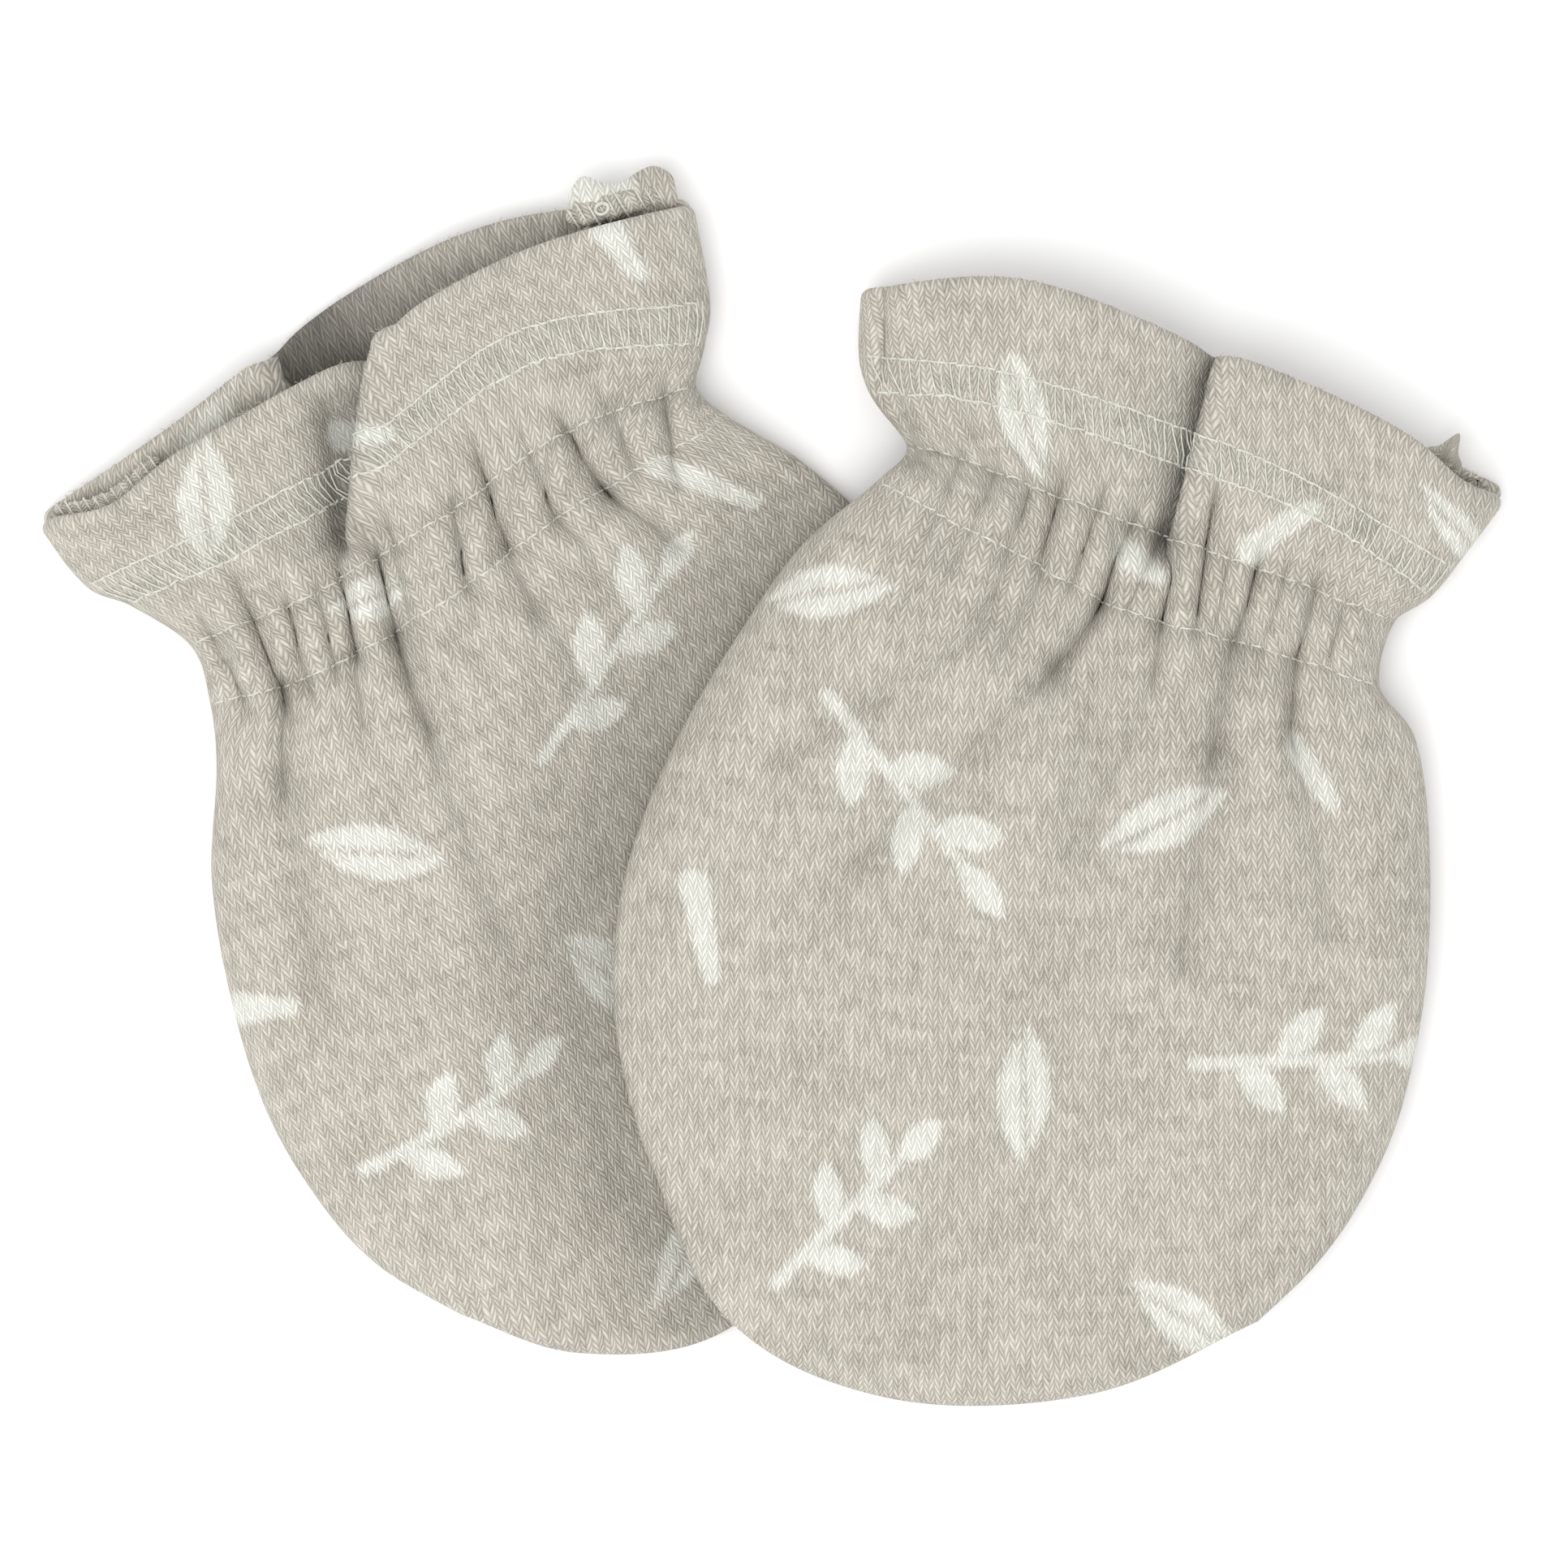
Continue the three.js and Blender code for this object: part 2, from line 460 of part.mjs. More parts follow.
// A closed wall between an outer and an inner grid of points, joined round its four edges.
function closedWall(outer, inner) {
  const rows = outer.length;
  const columns = outer[0].length;
  const points = [...outer.flat(), ...inner.flat()];
  const index = [];
  const at = (r, c, side) => side * rows * columns + r * columns + c;
  const quad = (a, b, c, d) => index.push(a, b, c, a, c, d);
  for (let r = 0; r < rows - 1; r += 1) {
    for (let c = 0; c < columns - 1; c += 1) {
      quad(at(r, c, 0), at(r + 1, c, 0), at(r + 1, c + 1, 0), at(r, c + 1, 0));
      quad(at(r, c, 1), at(r, c + 1, 1), at(r + 1, c + 1, 1), at(r + 1, c, 1));
    }
  }
  for (let c = 0; c < columns - 1; c += 1) {
    quad(at(0, c, 0), at(0, c + 1, 0), at(0, c + 1, 1), at(0, c, 1));
    quad(at(rows - 1, c, 0), at(rows - 1, c, 1), at(rows - 1, c + 1, 1), at(rows - 1, c + 1, 0));
  }
  for (let r = 0; r < rows - 1; r += 1) {
    quad(at(r, 0, 0), at(r, 0, 1), at(r + 1, 0, 1), at(r + 1, 0, 0));
    quad(at(r, columns - 1, 0), at(r + 1, columns - 1, 0), at(r + 1, columns - 1, 1), at(r, columns - 1, 1));
  }
  const geometry = new THREE.BufferGeometry();
  geometry.setAttribute("position", new THREE.Float32BufferAttribute(points.flatMap((p) => p.toArray()), 3));
  geometry.setIndex(index);
  geometry.computeVertexNormals();
  return geometry;
}

function clothMesh(name, geometry) {
  const material = new THREE.MeshStandardMaterial({ color: COLOUR, roughness: 0.95, metalness: 0 });
  const mesh = new THREE.Mesh(geometry, material);
  mesh.name = name;
  return mesh;
}

function frontPanel(mitten) {
  const base = (s, down) => {
    const { place, z } = frontBase(mitten, s, down);
    return new THREE.Vector3(place[0], place[1], z);
  };
  const upward = (s, down) => facing(base, s, down, endDown(mitten), FRONT_AT_SEAM);
  const offset = (s, down, share) => frontPlace(mitten, s, down)
    .addScaledVector(upward(s, down), share * rowValue(mitten, "wall", down));
  const grid = (share) => downSteps(mitten, "cells")
    .map((down) => acrossSteps(FRONT_CELLS_ACROSS).map((s) => offset(s, down, share)));
  return clothMesh(`${mitten.name}_front`, closedWall(grid(0.5), grid(-0.5)));
}

function backPanel(mitten) {
  const position = (s, down) => backPlace(mitten, s, down);
  const upward = (s, down) => facing(position, s, down, endDown(mitten), BACK_AT_SEAM);
  const offset = (s, down, share) => backPlace(mitten, s, down)
    .addScaledVector(upward(s, down), share * rowValue(mitten, "wall", down));
  const grid = (share) => downSteps(mitten, "backCells")
    .map((down) => acrossSteps(BACK_CELLS_ACROSS).map((s) => offset(s, down, share)));
  return clothMesh(`${mitten.name}_back`, closedWall(grid(0.5), grid(-0.5)));
}

// A seam end: a thick tab on the back panel's inner face, standing out past its mouth edge.
function seamEnd({ of: mitten, from, to, inside, outside }) {
  const level = (stepOut, lift) => outside.map((reach, i) => {
    const s = mix(from, to, i / (outside.length - 1));
    const edge = backPlace(mitten, s, 0);
    const out = edge.clone().sub(backPlace(mitten, s, 1)).setZ(0).normalize();
    const place = edge.clone().addScaledVector(out, mix(inside, reach, stepOut));
    const carried = edge.z + HEM_WALL / 2 + SEAM_GAP;
    return place.setZ(carried + lift);
  });
  const steps = [0, 0.5, 1];
  const crown = [0.8, 1, 0.7];
  const top = steps.map((step, i) => level(step, SEAM_END_WALL * crown[i]));
  const under = steps.map((step) => level(step, 0));
  return clothMesh(`${mitten.name}_seam_end`, closedWall(top.reverse(), under.reverse()));
}

function mittenGroup(mitten) {
  const group = new THREE.Group();
  group.name = `${mitten.name}_mitten`;
  group.position.set(mitten.at[0], mitten.at[1], 0);
  group.rotation.z = THREE.MathUtils.degToRad(mitten.turn);
  group.add(frontPanel(mitten), backPanel(mitten));
  SEAM_ENDS.filter((end) => end.of === mitten).forEach((end) => group.add(seamEnd(end)));
  return group;
}

[LEFT, RIGHT].forEach((mitten) => mitten.rows.forEach((row) => {
  row.leftX = row.leftSeam[0];
  row.rightX = row.rightSeam[0];
}));

const pair = new THREE.Group();
pair.name = "baby_mittens";
pair.add(mittenGroup(LEFT), mittenGroup(RIGHT));

export default pair;
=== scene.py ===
import math
import random
from collections import namedtuple

import bmesh
import bpy
import numpy as np
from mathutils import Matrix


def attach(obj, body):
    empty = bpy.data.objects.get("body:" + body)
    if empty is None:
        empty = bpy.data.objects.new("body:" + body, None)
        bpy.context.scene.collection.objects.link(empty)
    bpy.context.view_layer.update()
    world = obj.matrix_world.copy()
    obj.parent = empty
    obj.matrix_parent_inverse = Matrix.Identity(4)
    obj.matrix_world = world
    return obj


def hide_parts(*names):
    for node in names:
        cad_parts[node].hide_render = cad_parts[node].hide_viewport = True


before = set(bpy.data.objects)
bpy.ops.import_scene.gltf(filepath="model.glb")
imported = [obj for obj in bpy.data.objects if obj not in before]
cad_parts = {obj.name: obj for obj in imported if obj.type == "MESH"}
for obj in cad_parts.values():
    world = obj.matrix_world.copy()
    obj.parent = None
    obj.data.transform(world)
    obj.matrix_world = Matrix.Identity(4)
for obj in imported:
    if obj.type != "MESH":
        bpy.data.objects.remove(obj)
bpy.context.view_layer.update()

# Front panels. Each is one piece of cotton interlock from the hem's fold to the fingertips, gathered at the wrist
# by a casing. Its edges are turned in at the side seams, and its hem is folded inside the mouth. Sizes are in
# millimetres, in each mitten's own frame: X across and Y towards the mouth, turned about Z to where it lies.
MM = 0.001
CLOTH = 0.9
WALL = 1.2
HEM_WALL = 2.0
SEAM_GAP = 0.3
SEAM_HEIGHT = 2.6
FLAT_SEAM_HEIGHT = WALL + SEAM_GAP / 2
FRONT_ROUNDING = 7
FLAT_ROUNDING = 0.8
ROUNDING_SHARE = 0.62
PRESSED_HEIGHT = 1.5 * WALL + SEAM_GAP
LIFT = 2 * WALL + 2.6 * SEAM_GAP
CONTACT_MARGIN = 1.6
PRESS_REACH = 15
LIFT_REACH = 13

# Sections from the mouth to the fingertips: down is the way along the cloth and height the crown over the table.
RIGHT_ROWS = [
    dict(row="mouth", down=0, wall=HEM_WALL, height=9.4, left_seam=(-33.1, 16.9),
         left_quarter=(-19.5, 22.1), middle=(-2.6, 21.6), right_quarter=(13.2, 20.5), right_seam=(29.6, 17.6)),
    dict(row="upper coverstitch", down=8.6, wall=HEM_WALL, height=9.5, left_seam=(-31.3, 10.9),
         left_quarter=(-18.5, 13.3), middle=(-2.2, 13.5), right_quarter=(11.4, 12.4), right_seam=(27, 9.2)),
    dict(row="lower coverstitch", down=12, wall=HEM_WALL, height=9.6, left_seam=(-29.5, 8.3),
         left_quarter=(-17.3, 10.1), middle=(-0.9, 10.1), right_quarter=(11.9, 9.5), right_seam=(25.8, 6.3)),
    dict(row="upper casing stitch", down=18.6, wall=WALL, height=9.8, left_seam=(-24.9, 4.3),
         left_quarter=(-13.5, 4), middle=(-1.3, 3.5), right_quarter=(10.8, 3.2), right_seam=(23.6, 2.6)),
    dict(row="lower casing stitch", down=26.4, wall=WALL, height=10, left_seam=(-26.6, -0.2),
         left_quarter=(-13.4, -2.3), middle=(0.1, -4.3), right_quarter=(12.3, -3.7), right_seam=(24.2, -3.8)),
    dict(row="thumb base", down=34, wall=WALL, height=10.3,
         left_seam=(-31.2, -7.6), right_seam=(29, -7.6), bow=-4.6),
    dict(row="knuckles", down=44, wall=WALL, height=10.3,
         left_seam=(-34.2, -16.8), right_seam=(33.3, -16.7), bow=-5.2),
    dict(row="palm", down=57, wall=WALL, height=9.8, left_seam=(-36.9, -29), right_seam=(36.9, -29), bow=-6),
    dict(row="widest", down=70, wall=WALL, height=9.4, left_seam=(-37.6, -41), right_seam=(38.3, -41), bow=-7.5),
    dict(row="fingers", down=82, wall=WALL, height=8.6,
         left_seam=(-36, -50.5), right_seam=(37.3, -50.2), bow=-9.8),
    dict(row="fingertips", down=92, wall=WALL, height=7.6,
         left_seam=(-32.9, -58.2), right_seam=(35.2, -57), bow=-13),
    dict(row="end seam", down=103.5, wall=WALL, height=7, left_seam=(-28.6, -65.4),
         left_quarter=(-15.8, -78.4), middle=(0.8, -81.1), right_quarter=(18.6, -75), right_seam=(31.8, -63.8)),
]
LEFT_ROWS = [
    dict(row="mouth", down=0, wall=HEM_WALL, height=9.4, left_seam=(-34.9, 17.1),
         left_quarter=(-18.9, 17.6), middle=(0.5, 20), right_quarter=(16.5, 20.8), right_seam=(32.6, 18.9)),
    dict(row="upper coverstitch", down=8.6, wall=HEM_WALL, height=9.5, left_seam=(-33.2, 9.8),
         left_quarter=(-21, 9.4), middle=(-4.4, 10.8), right_quarter=(12.8, 14.3), right_seam=(30.2, 9.9)),
    dict(row="lower coverstitch", down=12, wall=HEM_WALL, height=9.6, left_seam=(-30.4, 6.9),
         left_quarter=(-19.6, 6.1), middle=(-4, 7.8), right_quarter=(12.7, 10.9), right_seam=(28.2, 6.7)),
    dict(row="upper casing stitch", down=18.6, wall=WALL, height=9.8, left_seam=(-27, 0.6),
         left_quarter=(-15.5, -0.1), middle=(-1.2, 1.3), right_quarter=(12.9, 3.8), right_seam=(26.1, 3)),
    dict(row="lower casing stitch", down=26.4, wall=WALL, height=10, left_seam=(-27.6, -5.4),
         left_quarter=(-17, -6.8), middle=(-3, -5.6), right_quarter=(10.9, -2.7), right_seam=(27.8, -1.2)),
    dict(row="thumb base", down=34, wall=WALL, height=10.3,
         left_seam=(-29.6, -11.2), right_seam=(32.3, -7.8), bow=-3.6),
    dict(row="knuckles", down=44, wall=WALL, height=10.3,
         left_seam=(-34.3, -20.4), right_seam=(36.4, -17.8), bow=-4.6),
    dict(row="palm", down=57, wall=WALL, height=9.8,
         left_seam=(-37.4, -32), right_seam=(37.7, -30), bow=-6.2),
    dict(row="widest", down=70, wall=WALL, height=9.4,
         left_seam=(-38.6, -43), right_seam=(35.2, -42.3), bow=-8.2),
    dict(row="fingers", down=82, wall=WALL, height=8.6,
         left_seam=(-37.4, -52.8), right_seam=(30.6, -51), bow=-11),
    dict(row="fingertips", down=92, wall=WALL, height=7.6,
         left_seam=(-35, -59.8), right_seam=(25.2, -58.2), bow=-14),
    dict(row="end seam", down=103.5, wall=WALL, height=7, left_seam=(-30.2, -67),
         left_quarter=(-21.1, -74.9), middle=(-8.6, -78.7), right_quarter=(6.4, -73.3), right_seam=(19.4, -64)),
]

# Gathers and creases of the fronts: top and foot of each soft trough, half its width, and its depth.
Crease = namedtuple("Crease", "name top foot half deep")
RIGHT_CREASES = [
    Crease("side seam in the hem", (-31.2, 18.4), (-29, 11), 0.5, 0.9),
    Crease("hollow at the left neck", (-26, 8), (-23.5, 4), 1.5, 1),
    Crease("gather 1", (-19.6, 4.6), (-20.4, -3), 1.3, 0.7),
    Crease("gather 2", (-16.2, 3.4), (-17, -4), 1.2, 0.7),
    Crease("gather 3", (-12.8, 2.5), (-13.3, -9), 1.3, 0.8),
    Crease("gather 4", (-9.8, 3.6), (-9.7, -1.2), 1.2, 1.4),
    Crease("gather 5", (-6.2, 4.6), (-6.4, -2.6), 1.1, 0.9),
    Crease("gather 6", (-2.7, 3.4), (-3.1, -3.6), 1.1, 1.5),
    Crease("gather 7", (-0.3, 3.2), (-0.6, -3), 1, 1),
    Crease("gather 8", (2.3, 3), (2.7, -3), 1.1, 1.4),
    Crease("gather 9", (3.8, 7.2), (5.4, -2.2), 1.1, 1.5),
    Crease("gather 10", (7, 2.8), (7.4, -2), 1, 0.7),
    Crease("gather 11", (9.4, 2.6), (9.6, -2.6), 1.1, 1.4),
    Crease("gather 12", (12.3, 3.4), (12.5, -2), 1.1, 0.8),
    Crease("gather 13", (15.2, 3), (15.6, -1.8), 1.2, 1.4),
    Crease("gather 14", (18.4, 1.4), (18.6, -2), 1.1, 1),
    Crease("run-out 1", (-3.1, -4.7), (-5.3, -11), 1.5, 1.6),
    Crease("run-out 2", (3.1, -4.5), (3.4, -8), 1.4, 0.9),
    Crease("run-out 3", (9.4, -4.4), (10.8, -13.5), 2.2, 1.3),
    Crease("run-out 4", (16, -4.1), (17.3, -10), 1.6, 1.4),
    Crease("run-out 5", (-9.2, -4.4), (-10.4, -10), 1.8, 0.8),
    Crease("run-out 6", (-18.6, -3.6), (-20.5, -9), 1.8, 0.6),
    Crease("soft fold 1", (-6, -12), (-17, -34), 2.3, 0.85),
    Crease("soft fold 2", (-12, -9), (-26, -27), 2.4, 0.7),
    Crease("soft fold 3", (11, -14), (14, -33), 2.5, 0.85),
    Crease("soft fold 4", (4, -9), (2, -26), 2.2, 0.6),
    Crease("soft fold 5", (18, -11), (26, -26), 2.4, 0.75),
]
LEFT_CREASES = [
    Crease("valley beside the pleat", (-6.6, 15), (-10, 4), 2.6, 1.8),
    Crease("right end of the casing", (22.8, 3), (21.1, -3), 1.2, 1.6),
    Crease("gather 1", (17.6, 4.6), (17.4, -1), 1.1, 0.8),
    Crease("gather 2", (13.4, 4), (14.4, -2.6), 1.2, 1.4),
    Crease("gather 3", (9.2, 4.8), (9, -2), 1.2, 0.8),
    Crease("gather 4", (4.9, 4.6), (4, -2.7), 1.3, 1.5),
    Crease("gather 5", (0.6, 1.6), (-1, -4), 1.1, 1),
    Crease("gather 6", (-5.4, 1.4), (-6.6, -4.4), 1, 1),
    Crease("gather 7", (-7.6, 0.8), (-9, -7), 1.1, 1.5),
    Crease("gather 8", (-11.3, 0.8), (-12.7, -6), 1.1, 1.5),
    Crease("gather 9", (-14.2, -0.6), (-15.4, -6.4), 1, 0.9),
    Crease("gather 10", (-16.9, -0.6), (-17.9, -7), 1, 1),
    Crease("gather 11", (-20.4, 3), (-20.9, -6.4), 1.2, 1.3),
    Crease("gather 12", (-24.4, 0.4), (-24, -5.4), 1.2, 1.4),
    Crease("run-out 1", (14.4, -2.6), (17.9, -9), 1.6, 1.3),
    Crease("run-out 2", (4, -3.4), (3.6, -9), 1.6, 0.8),
    Crease("run-out 3", (-9.5, -6.8), (-9.9, -15), 1.5, 1.4),
    Crease("run-out 4", (-13.5, -7.6), (-15, -13), 1.5, 0.9),
    Crease("run-out 5", (-20.7, -7.1), (-24, -14), 1.6, 1.4),
    Crease("run-out 6", (9.4, -3), (10.6, -8), 1.6, 0.6),
    Crease("soft fold 1", (-10, -16), (-12, -38), 2.4, 0.85),
    Crease("soft fold 2", (4, -10), (6, -34), 2.6, 0.85),
    Crease("soft fold 3", (-24, -15), (-29, -32), 2.4, 0.75),
    Crease("soft fold 4", (18, -10), (30, -20), 2.6, 1.2),
]

# Pleats: the cloth on one side of a line stands over the cloth on its low side, past a rolled edge.
# dark and dark_reach give how strong the painted shade on a pleat's low side is and how far past its edge it reaches.
Pleat = namedtuple("Pleat", "top foot low_side drop reach rise edge tuck slide_back corner fade dark dark_reach")
RIGHT_PLEAT = Pleat((0.2, 24), (1.6, 3.4), 1, 4.6, 2.8, 0, 1.3, 0.8, 0.9, 0.4, 4, 0.9, 1.2)
LEFT_PLEAT = Pleat((2.2, 22), (-8.4, 4), 1, 3.4, 7, 0.4, 2, 1.25, 1.3, 1.3, 4, 0.5, 1.7)

# A front's mouth edge droops beside one of its seams: how far, and the middle and half of that stretch across.
Droop = namedtuple("Droop", "deep across half")

# Each mitten's mouth on its back panel: the edge's places, and how far it stands up from the table.
RIGHT_BACK_MOUTH = dict(
    left_seam=(-32.9, 16.4), left_quarter=(-19.5, 21.4), middle=(-2.6, 20.8), right_quarter=(13.2, 20),
    right_seam=(29.4, 18), stands=(0, 0.2, 0.2, 1.6, 0), pleat=None)
LEFT_BACK_MOUTH = dict(
    left_seam=(-34.5, 17.7), left_quarter=(-19.8, 20.3), middle=(-0.4, 25.1), right_quarter=(15.5, 25),
    right_seam=(32.5, 19.9), stands=(0, 2.8, 0.6, 2.4, 0),
    pleat=Pleat((-9.6, 24), (-8.6, 14), -1, 1.8, 4, 3.2, 1.6, 1.2, 0.4, 0.6, 5, 1.5, 11))

ACROSS = np.array([-1, -0.5, 0, 0.5, 1])
PLACES = ("left_seam", "left_quarter", "middle", "right_quarter", "right_seam")


def row_places(row):
    """A row's five places across. A row given by its seams and a bow gets the three between them."""
    if "middle" in row:
        return [row[place] for place in PLACES]
    (x0, y0), (x1, y1) = row["left_seam"], row["right_seam"]
    return [(x0 + (x1 - x0) * f, y0 + (y1 - y0) * f + row["bow"] * (1 - (2 * f - 1) ** 2))
            for f in (0, 0.25, 0.5, 0.75, 1)]


def mitten(name, at, turn, rows, back_mouth, creases, pleat, droop, grain):
    """Everything that a mitten is made by. grain is how far its wales are turned from its own Y."""
    front = np.array([row_places(row) for row in rows], dtype=float)
    back = front.copy()
    back[0] = [back_mouth[place] for place in PLACES]
    return dict(
        name=name, at=np.array(at), turn=math.radians(turn), places=front, back_places=back,
        down=np.array([row["down"] for row in rows], dtype=float), end=float(rows[-1]["down"]),
        wall=np.array([row["wall"] for row in rows], dtype=float),
        height=np.array([row["height"] for row in rows], dtype=float),
        half_width=np.array([(row["right_seam"][0] - row["left_seam"][0]) / 2 for row in rows]),
        stands=np.array(back_mouth["stands"], dtype=float), back_pleat=back_mouth["pleat"],
        creases=creases, pleat=pleat, droop=droop, grain=math.radians(grain))


LEFT = mitten("left", (-29.6, 24.15), 24.5, LEFT_ROWS, LEFT_BACK_MOUTH, LEFT_CREASES, LEFT_PLEAT,
              Droop(1.9, -0.8, 0.17), 0)
RIGHT = mitten("right", (35, 20.45), -18, RIGHT_ROWS, RIGHT_BACK_MOUTH, RIGHT_CREASES, RIGHT_PLEAT,
               Droop(1.3, 0.9, 0.13), 18)


def through(stations, values, t):
    """Smooth values at t by cubics through the stations. values is (stations, points or 1, axes)."""
    last = len(stations) - 1
    i = np.clip(np.searchsorted(stations, t) - 1, 0, last - 1)
    before = np.maximum(np.arange(last + 1) - 1, 0)
    after = np.minimum(np.arange(last + 1) + 1, last)
    slopes = (values[after] - values[before]) / (stations[after] - stations[before])[:, None, None]
    k = np.arange(len(t)) if values.shape[1] > 1 else np.zeros(len(t), dtype=int)
    span = (stations[i + 1] - stations[i])[:, None]
    f = (t - stations[i])[:, None] / span
    return ((2 * f**3 - 3 * f**2 + 1) * values[i, k] + (f**3 - 2 * f**2 + f) * span * slopes[i, k]
            + (3 * f**2 - 2 * f**3) * values[i + 1, k] + (f**3 - f**2) * span * slopes[i + 1, k])


def smooth(f):
    c = np.clip(f, 0, 1)
    return c * c * (3 - 2 * c)


def mix(a, b, f):
    return a + (b - a) * f


def rounded(distance, width):
    """A quarter round: how far the cloth has risen at a distance in from its edge."""
    return np.sqrt(1 - np.clip(1 - distance / width, 0, 1) ** 2)


def bell(distance, half):
    return np.exp(-(distance / half) ** 2)


def row_value(mitten, key, down):
    return through(mitten["down"], mitten[key][:, None, None], down)[:, 0]


def row_down(mitten, index):
    return mitten["down"][index]


def cloth_place(mitten, s, down, is_back=False):
    """The place of the cloth before any fold, s across from -1 at the left seam to 1 at the right."""
    places = mitten["back_places" if is_back else "places"]
    count = len(places)
    across = through(ACROSS, places.transpose(1, 0, 2).reshape(len(ACROSS), 1, 2 * count), s)
    return through(mitten["down"], across.reshape(len(s), count, 2).transpose(1, 0, 2), down)


def inset_place(mitten, s, down, is_back=False):
    """Seams are drawn at the outside of the wall, so the wall's middle lies half a wall inside them."""
    place = cloth_place(mitten, s, down, is_back)
    place[:, 0] -= s**3 * WALL / 2
    place[:, 1] += (down / mitten["end"]) ** 6 * WALL / 2
    return place


def laid(mitten, points):
    """Points of a mitten's own frame where it lies, in the pair's frame. Their heights stay."""
    turn = np.array([[math.cos(mitten["turn"]), -math.sin(mitten["turn"])],
                     [math.sin(mitten["turn"]), math.cos(mitten["turn"])]])
    placed = points.copy()
    placed[:, :2] = points[:, :2] @ turn.T + mitten["at"]
    return placed


def outline(mitten, side_steps=34, cross_steps=16):
    side = np.linspace(0, mitten["end"], side_steps + 1)
    cross = np.linspace(-1, 1, cross_steps + 1)[1:-1]
    s = np.concatenate([-np.ones(len(side)), cross, np.ones(len(side)), -cross])
    down = np.concatenate([side, np.full(len(cross), mitten["end"]), side[::-1], np.zeros(len(cross))])
    return laid(mitten, cloth_place(mitten, s, down))


def distance_outside(points, places):
    """How far each place lies outside an outline, and 0 or less inside it."""
    a = points[None]
    b = np.roll(points, -1, axis=0)[None]
    p = places[:, None]
    f = np.clip(((p - a) * (b - a)).sum(2) / ((b - a) ** 2).sum(2), 0, 1)[..., None]
    nearest = np.linalg.norm(p - mix(a, b, f), axis=2).min(axis=1)
    straddles = (a[..., 1] > p[..., 1]) != (b[..., 1] > p[..., 1])
    rise = np.where(straddles, b[..., 1] - a[..., 1], 1)
    crossing = a[..., 0] + (p[..., 1] - a[..., 1]) * (b[..., 0] - a[..., 0]) / rise
    inside = (straddles & (p[..., 0] < crossing)).sum(axis=1) % 2 == 1
    return np.where(inside, -nearest, nearest)


LEFT_OUTLINE = outline(LEFT)
RIGHT_OUTLINE = outline(RIGHT)


def pressed(mitten, place):
    """1 where the left mitten is pressed flat under the right one, 0 where it is free."""
    if mitten is not LEFT:
        return np.zeros(len(place))
    return 1 - smooth((distance_outside(RIGHT_OUTLINE, laid(mitten, place)) - CONTACT_MARGIN) / PRESS_REACH)


def lifted(mitten, place):
    """How high the left mitten lifts the right one."""
    if mitten is not RIGHT:
        return np.zeros(len(place))
    return LIFT * (1 - smooth((distance_outside(LEFT_OUTLINE, laid(mitten, place)) - CONTACT_MARGIN) / LIFT_REACH))


def along_line(top, foot, place):
    """How far places lie along a line from its top, to its left as it runs, and the line's length and way."""
    top, foot = np.array(top, dtype=float), np.array(foot, dtype=float)
    length = np.hypot(*(foot - top))
    along = (foot - top) / length
    away = place - top
    return away @ along, away[:, 0] * along[1] - away[:, 1] * along[0], length, along


# A gather is a broad soft trough, steeper on one side, with a narrow line at its bottom where the cloth
# meets itself.
BROAD_PART = 1
BROAD_HALF = 1.25
NARROW_PART = 0.55
NARROW_HALF = 0.52
STEEP_SIDE = 1.3
CREASE_END = 2.2


def crease_depth(creases, place):
    """How deep the creases are at each place, and how deep their narrow lines are alone."""
    broad, narrow = np.zeros(len(place)), np.zeros(len(place))
    for number, crease in enumerate(creases):
        way, side, length, _ = along_line(crease.top, crease.foot, place)
        side = side * np.where(side * (-1) ** number > 0, STEEP_SIDE, 1 / STEEP_SIDE)
        beyond = np.maximum(np.maximum(-way, way - length), 0)
        deep = crease.deep * bell(beyond, CREASE_END)
        broad += deep * BROAD_PART * bell(side, crease.half * BROAD_HALF)
        narrow += deep * NARROW_PART * bell(side, crease.half * NARROW_HALF)
    return broad + narrow, narrow


# The mouth's edge rounds down to a pleat's fold over this many of the fold's widths.
CORNER_HALF = 1.2
CORNER_FADE = 3
PLEAT_RISE_REACH = 7


def pleat_step(pleat, place, free):
    """How far places lie on a pleat's low side, the way to it, how far the pleat holds, and its step."""
    way, low, length, along = along_line(pleat.top, pleat.foot, place)
    low = low * pleat.low_side
    held = free * (1 - smooth((way - length) / pleat.fade))
    return low, np.array([along[1], -along[0]]) * pleat.low_side, held, smooth(0.5 + low / (2 * pleat.edge)) * held


def pleated(pleat, place, free, near_mouth):
    """Moves the places that a pleat folds over, and gives how far each drops."""
    if pleat is None:
        return place, 0
    low, to_low, held, step = pleat_step(pleat, place, free)
    drop = step * np.exp(-np.maximum(low, 0) / pleat.reach)
    rise = (held - step) * np.exp(-np.maximum(-low, 0) / PLEAT_RISE_REACH)
    tuck = pleat.tuck * np.sin(np.pi * np.clip(low / pleat.edge, -1, 1)) * held
    place = place - tuck[:, None] * to_low
    place[:, 1] -= drop * pleat.slide_back * near_mouth
    place[:, 1] -= pleat.corner * bell(low, CORNER_HALF * pleat.edge) * held * near_mouth ** CORNER_FADE
    return place, drop * pleat.drop - rise * pleat.rise


# Painted shade: light hardly reaches the bottom of a gather or pleat, nor the left mitten close beside the right one,
# so shade is painted into the cloth's colour there: 1 is the darkest.
LINE_SHADE = 0.34
NEAR_SHADE = 0.3
NEAR_SHADE_FADE = 4


# Painted shade on a pleat's low side, past its rolled edge, fading over dark_reach.
def pleat_shade(pleat, place, free):
    if pleat is None:
        return 0
    low, _, _, step = pleat_step(pleat, place, free)
    return pleat.dark * step * np.exp(-np.maximum(low - pleat.edge, 0) / pleat.dark_reach)


